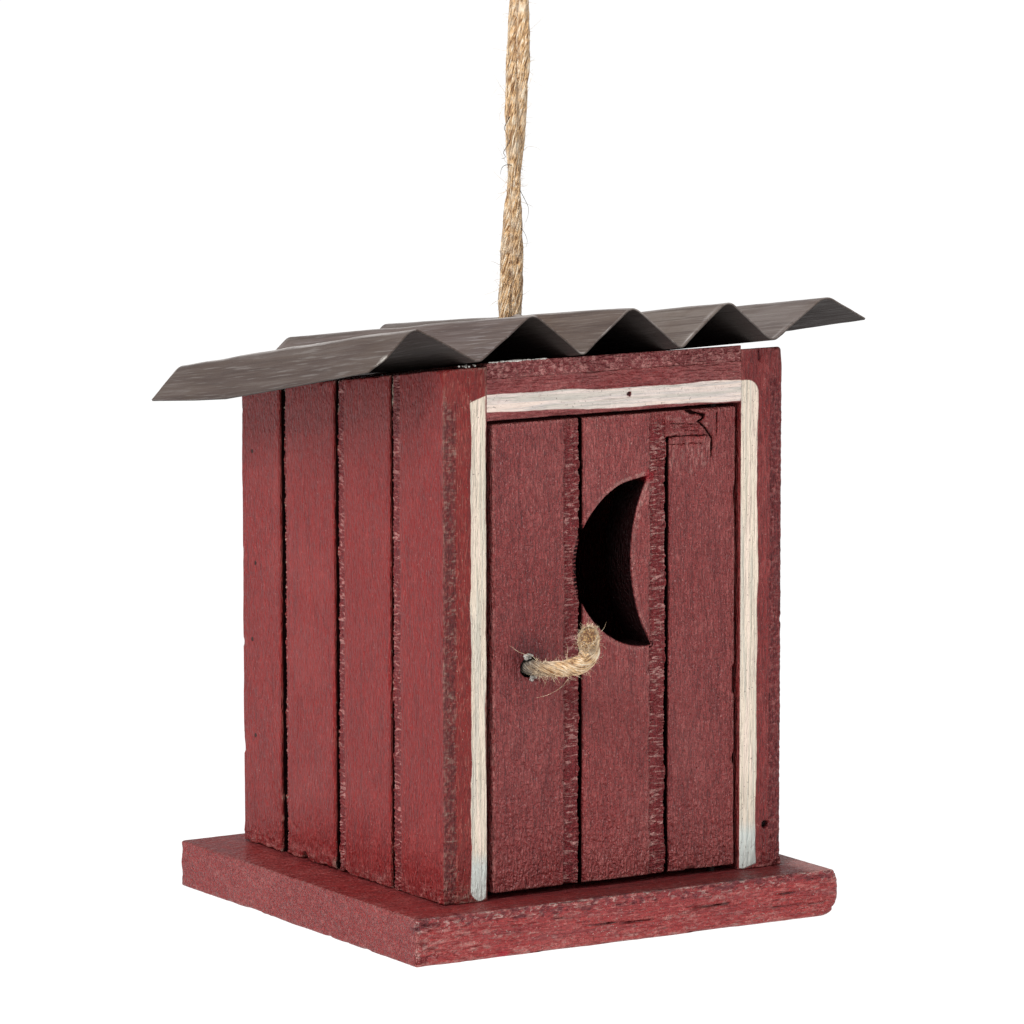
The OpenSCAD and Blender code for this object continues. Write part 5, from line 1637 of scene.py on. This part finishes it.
spots = []
for a, b, w_ in ((-13.5, 97, 3.5), (15, 97, 3.2)):
    c = on_roof(np.array([a, b, 1.35]))
    spots.append(blob(c[0], c[1], c[2], w_, w_ * 0.9, 0.75, int(abs(a) + b)))
grng = np.random.default_rng(17)
for k in range(26):  # a thin uneven line of glue on the deck's front edge, under the first folds
    x_ = -36.6 + 16.4 * (k / 25) ** 1.15 + grng.uniform(-0.3, 0.3)
    sz = grng.uniform(0.16, 0.34) + 0.20 * math.exp(-((x_ + 29.0) / 2.2) ** 2)
    spots.append(blob(x_, -HD + 0.30 + grng.uniform(-0.1, 0.35), TOP_F + DECK_UP - 0.02 + grng.uniform(-0.05, 0.10), sz * 1.9, sz * 1.2, sz * 0.7, 60 + k, 12))
for k in range(9):  # crumbs under the fold by the left wall
    spots.append(blob(-43.0 + grng.uniform(-2.6, 3.6), -HD + 0.3 + grng.uniform(0, 2.0), TOP_F + 0.25 + grng.uniform(-0.1, 0.3), 0.30, 0.30, 0.25, 90 + k, 10))
add("glue_lumps", join_blobs("glue_lumps", spots), M_GLUE, "root", ["roof_glue_beads"])
dabs = []
for k in range(22):
    up_ = k % 2 == 0
    x_ = (-25.3 if up_ else -24.2) + grng.uniform(-0.9, 1.1)
    z_ = PULL[1] + (2.75 if up_ else -2.75) + grng.uniform(-0.45, 0.45)
    sz = grng.uniform(0.30, 0.60) * (1.0 if up_ else 0.8)
    dabs.append(blob(x_, DY0 - 0.05 - grng.uniform(0, 0.5), z_, sz * 1.15, sz, sz * 0.9, 30 + k, 12))
add("pull_glue_dabs", join_blobs("pull_glue_dabs", dabs), M_GLUE_D, "door", ["door_pull_glue"])

# ---------------------------------------------------------------- nails: the CAD nodes stay, with the dulled steel
for n_ in ("left_wall_brads", "right_wall_brads", "base_nails", "door_pivot_nail_top", "door_pivot_nail_bottom"):
    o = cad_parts[n_]
    o.data.materials.clear()
    o.data.materials.append(M_NAIL if n_ == "base_nails" else M_BRAD)

# ---------------------------------------------------------------- stage and light
me = bpy.data.meshes.new("floor")
S = 30.0
me.from_pydata([(-S, -S, -0.16), (S, -S, -0.16), (S, S, -0.16), (-S, S, -0.16)], [], [(0, 1, 2, 3)])
floor = bpy.data.objects.new("floor", me)
scene.collection.objects.link(floor)
fm = Nodes("floor")
floor.data.materials.append(fm.done((0.22, 0.22, 0.22), 0.9, spec=0.1))
fm.bsdf.inputs["Emission Color"].default_value = (1, 1, 1, 1)
fm.bsdf.inputs["Emission Strength"].default_value = 0.93

world = bpy.data.worlds.new("world")
world.use_nodes = True
world.node_tree.nodes["Background"].inputs[0].default_value = (1.0, 1.0, 1.0, 1)
wt = world.node_tree
tc = wt.nodes.new("ShaderNodeTexCoord")
sep = wt.nodes.new("ShaderNodeSeparateXYZ")
mr = wt.nodes.new("ShaderNodeMapRange")
wt.links.new(tc.outputs["Generated"], sep.inputs[0])
wt.links.new(sep.outputs[2], mr.inputs[0])
for i_, v_ in enumerate((0.0, 0.5, 0.62, 0.38)):
    mr.inputs[i_ + 1].default_value = v_
wt.links.new(mr.outputs[0], wt.nodes["Background"].inputs[1])
scene.world = world


def area(name, loc, target, size, power, color=(1, 1, 1)):
    d = bpy.data.lights.new(name, "AREA")
    d.shape = "RECTANGLE"
    d.size, d.size_y = size
    d.energy = power
    d.color = color
    o = bpy.data.objects.new(name, d)
    o.location = loc
    o.rotation_euler = (Vector(target) - Vector(loc)).to_track_quat("-Z", "Y").to_euler()
    scene.collection.objects.link(o)
    return o


area("key", (-1.33, -0.61, 1.47), (0, 0, 0.08), (1.2, 1.2), 41)
area("fill", (1.3, -1.5, 0.8), (0, 0, 0.08), (1.0, 1.0), 4)
scene.view_settings.view_transform = "Standard"
scene.view_settings.look = "None"
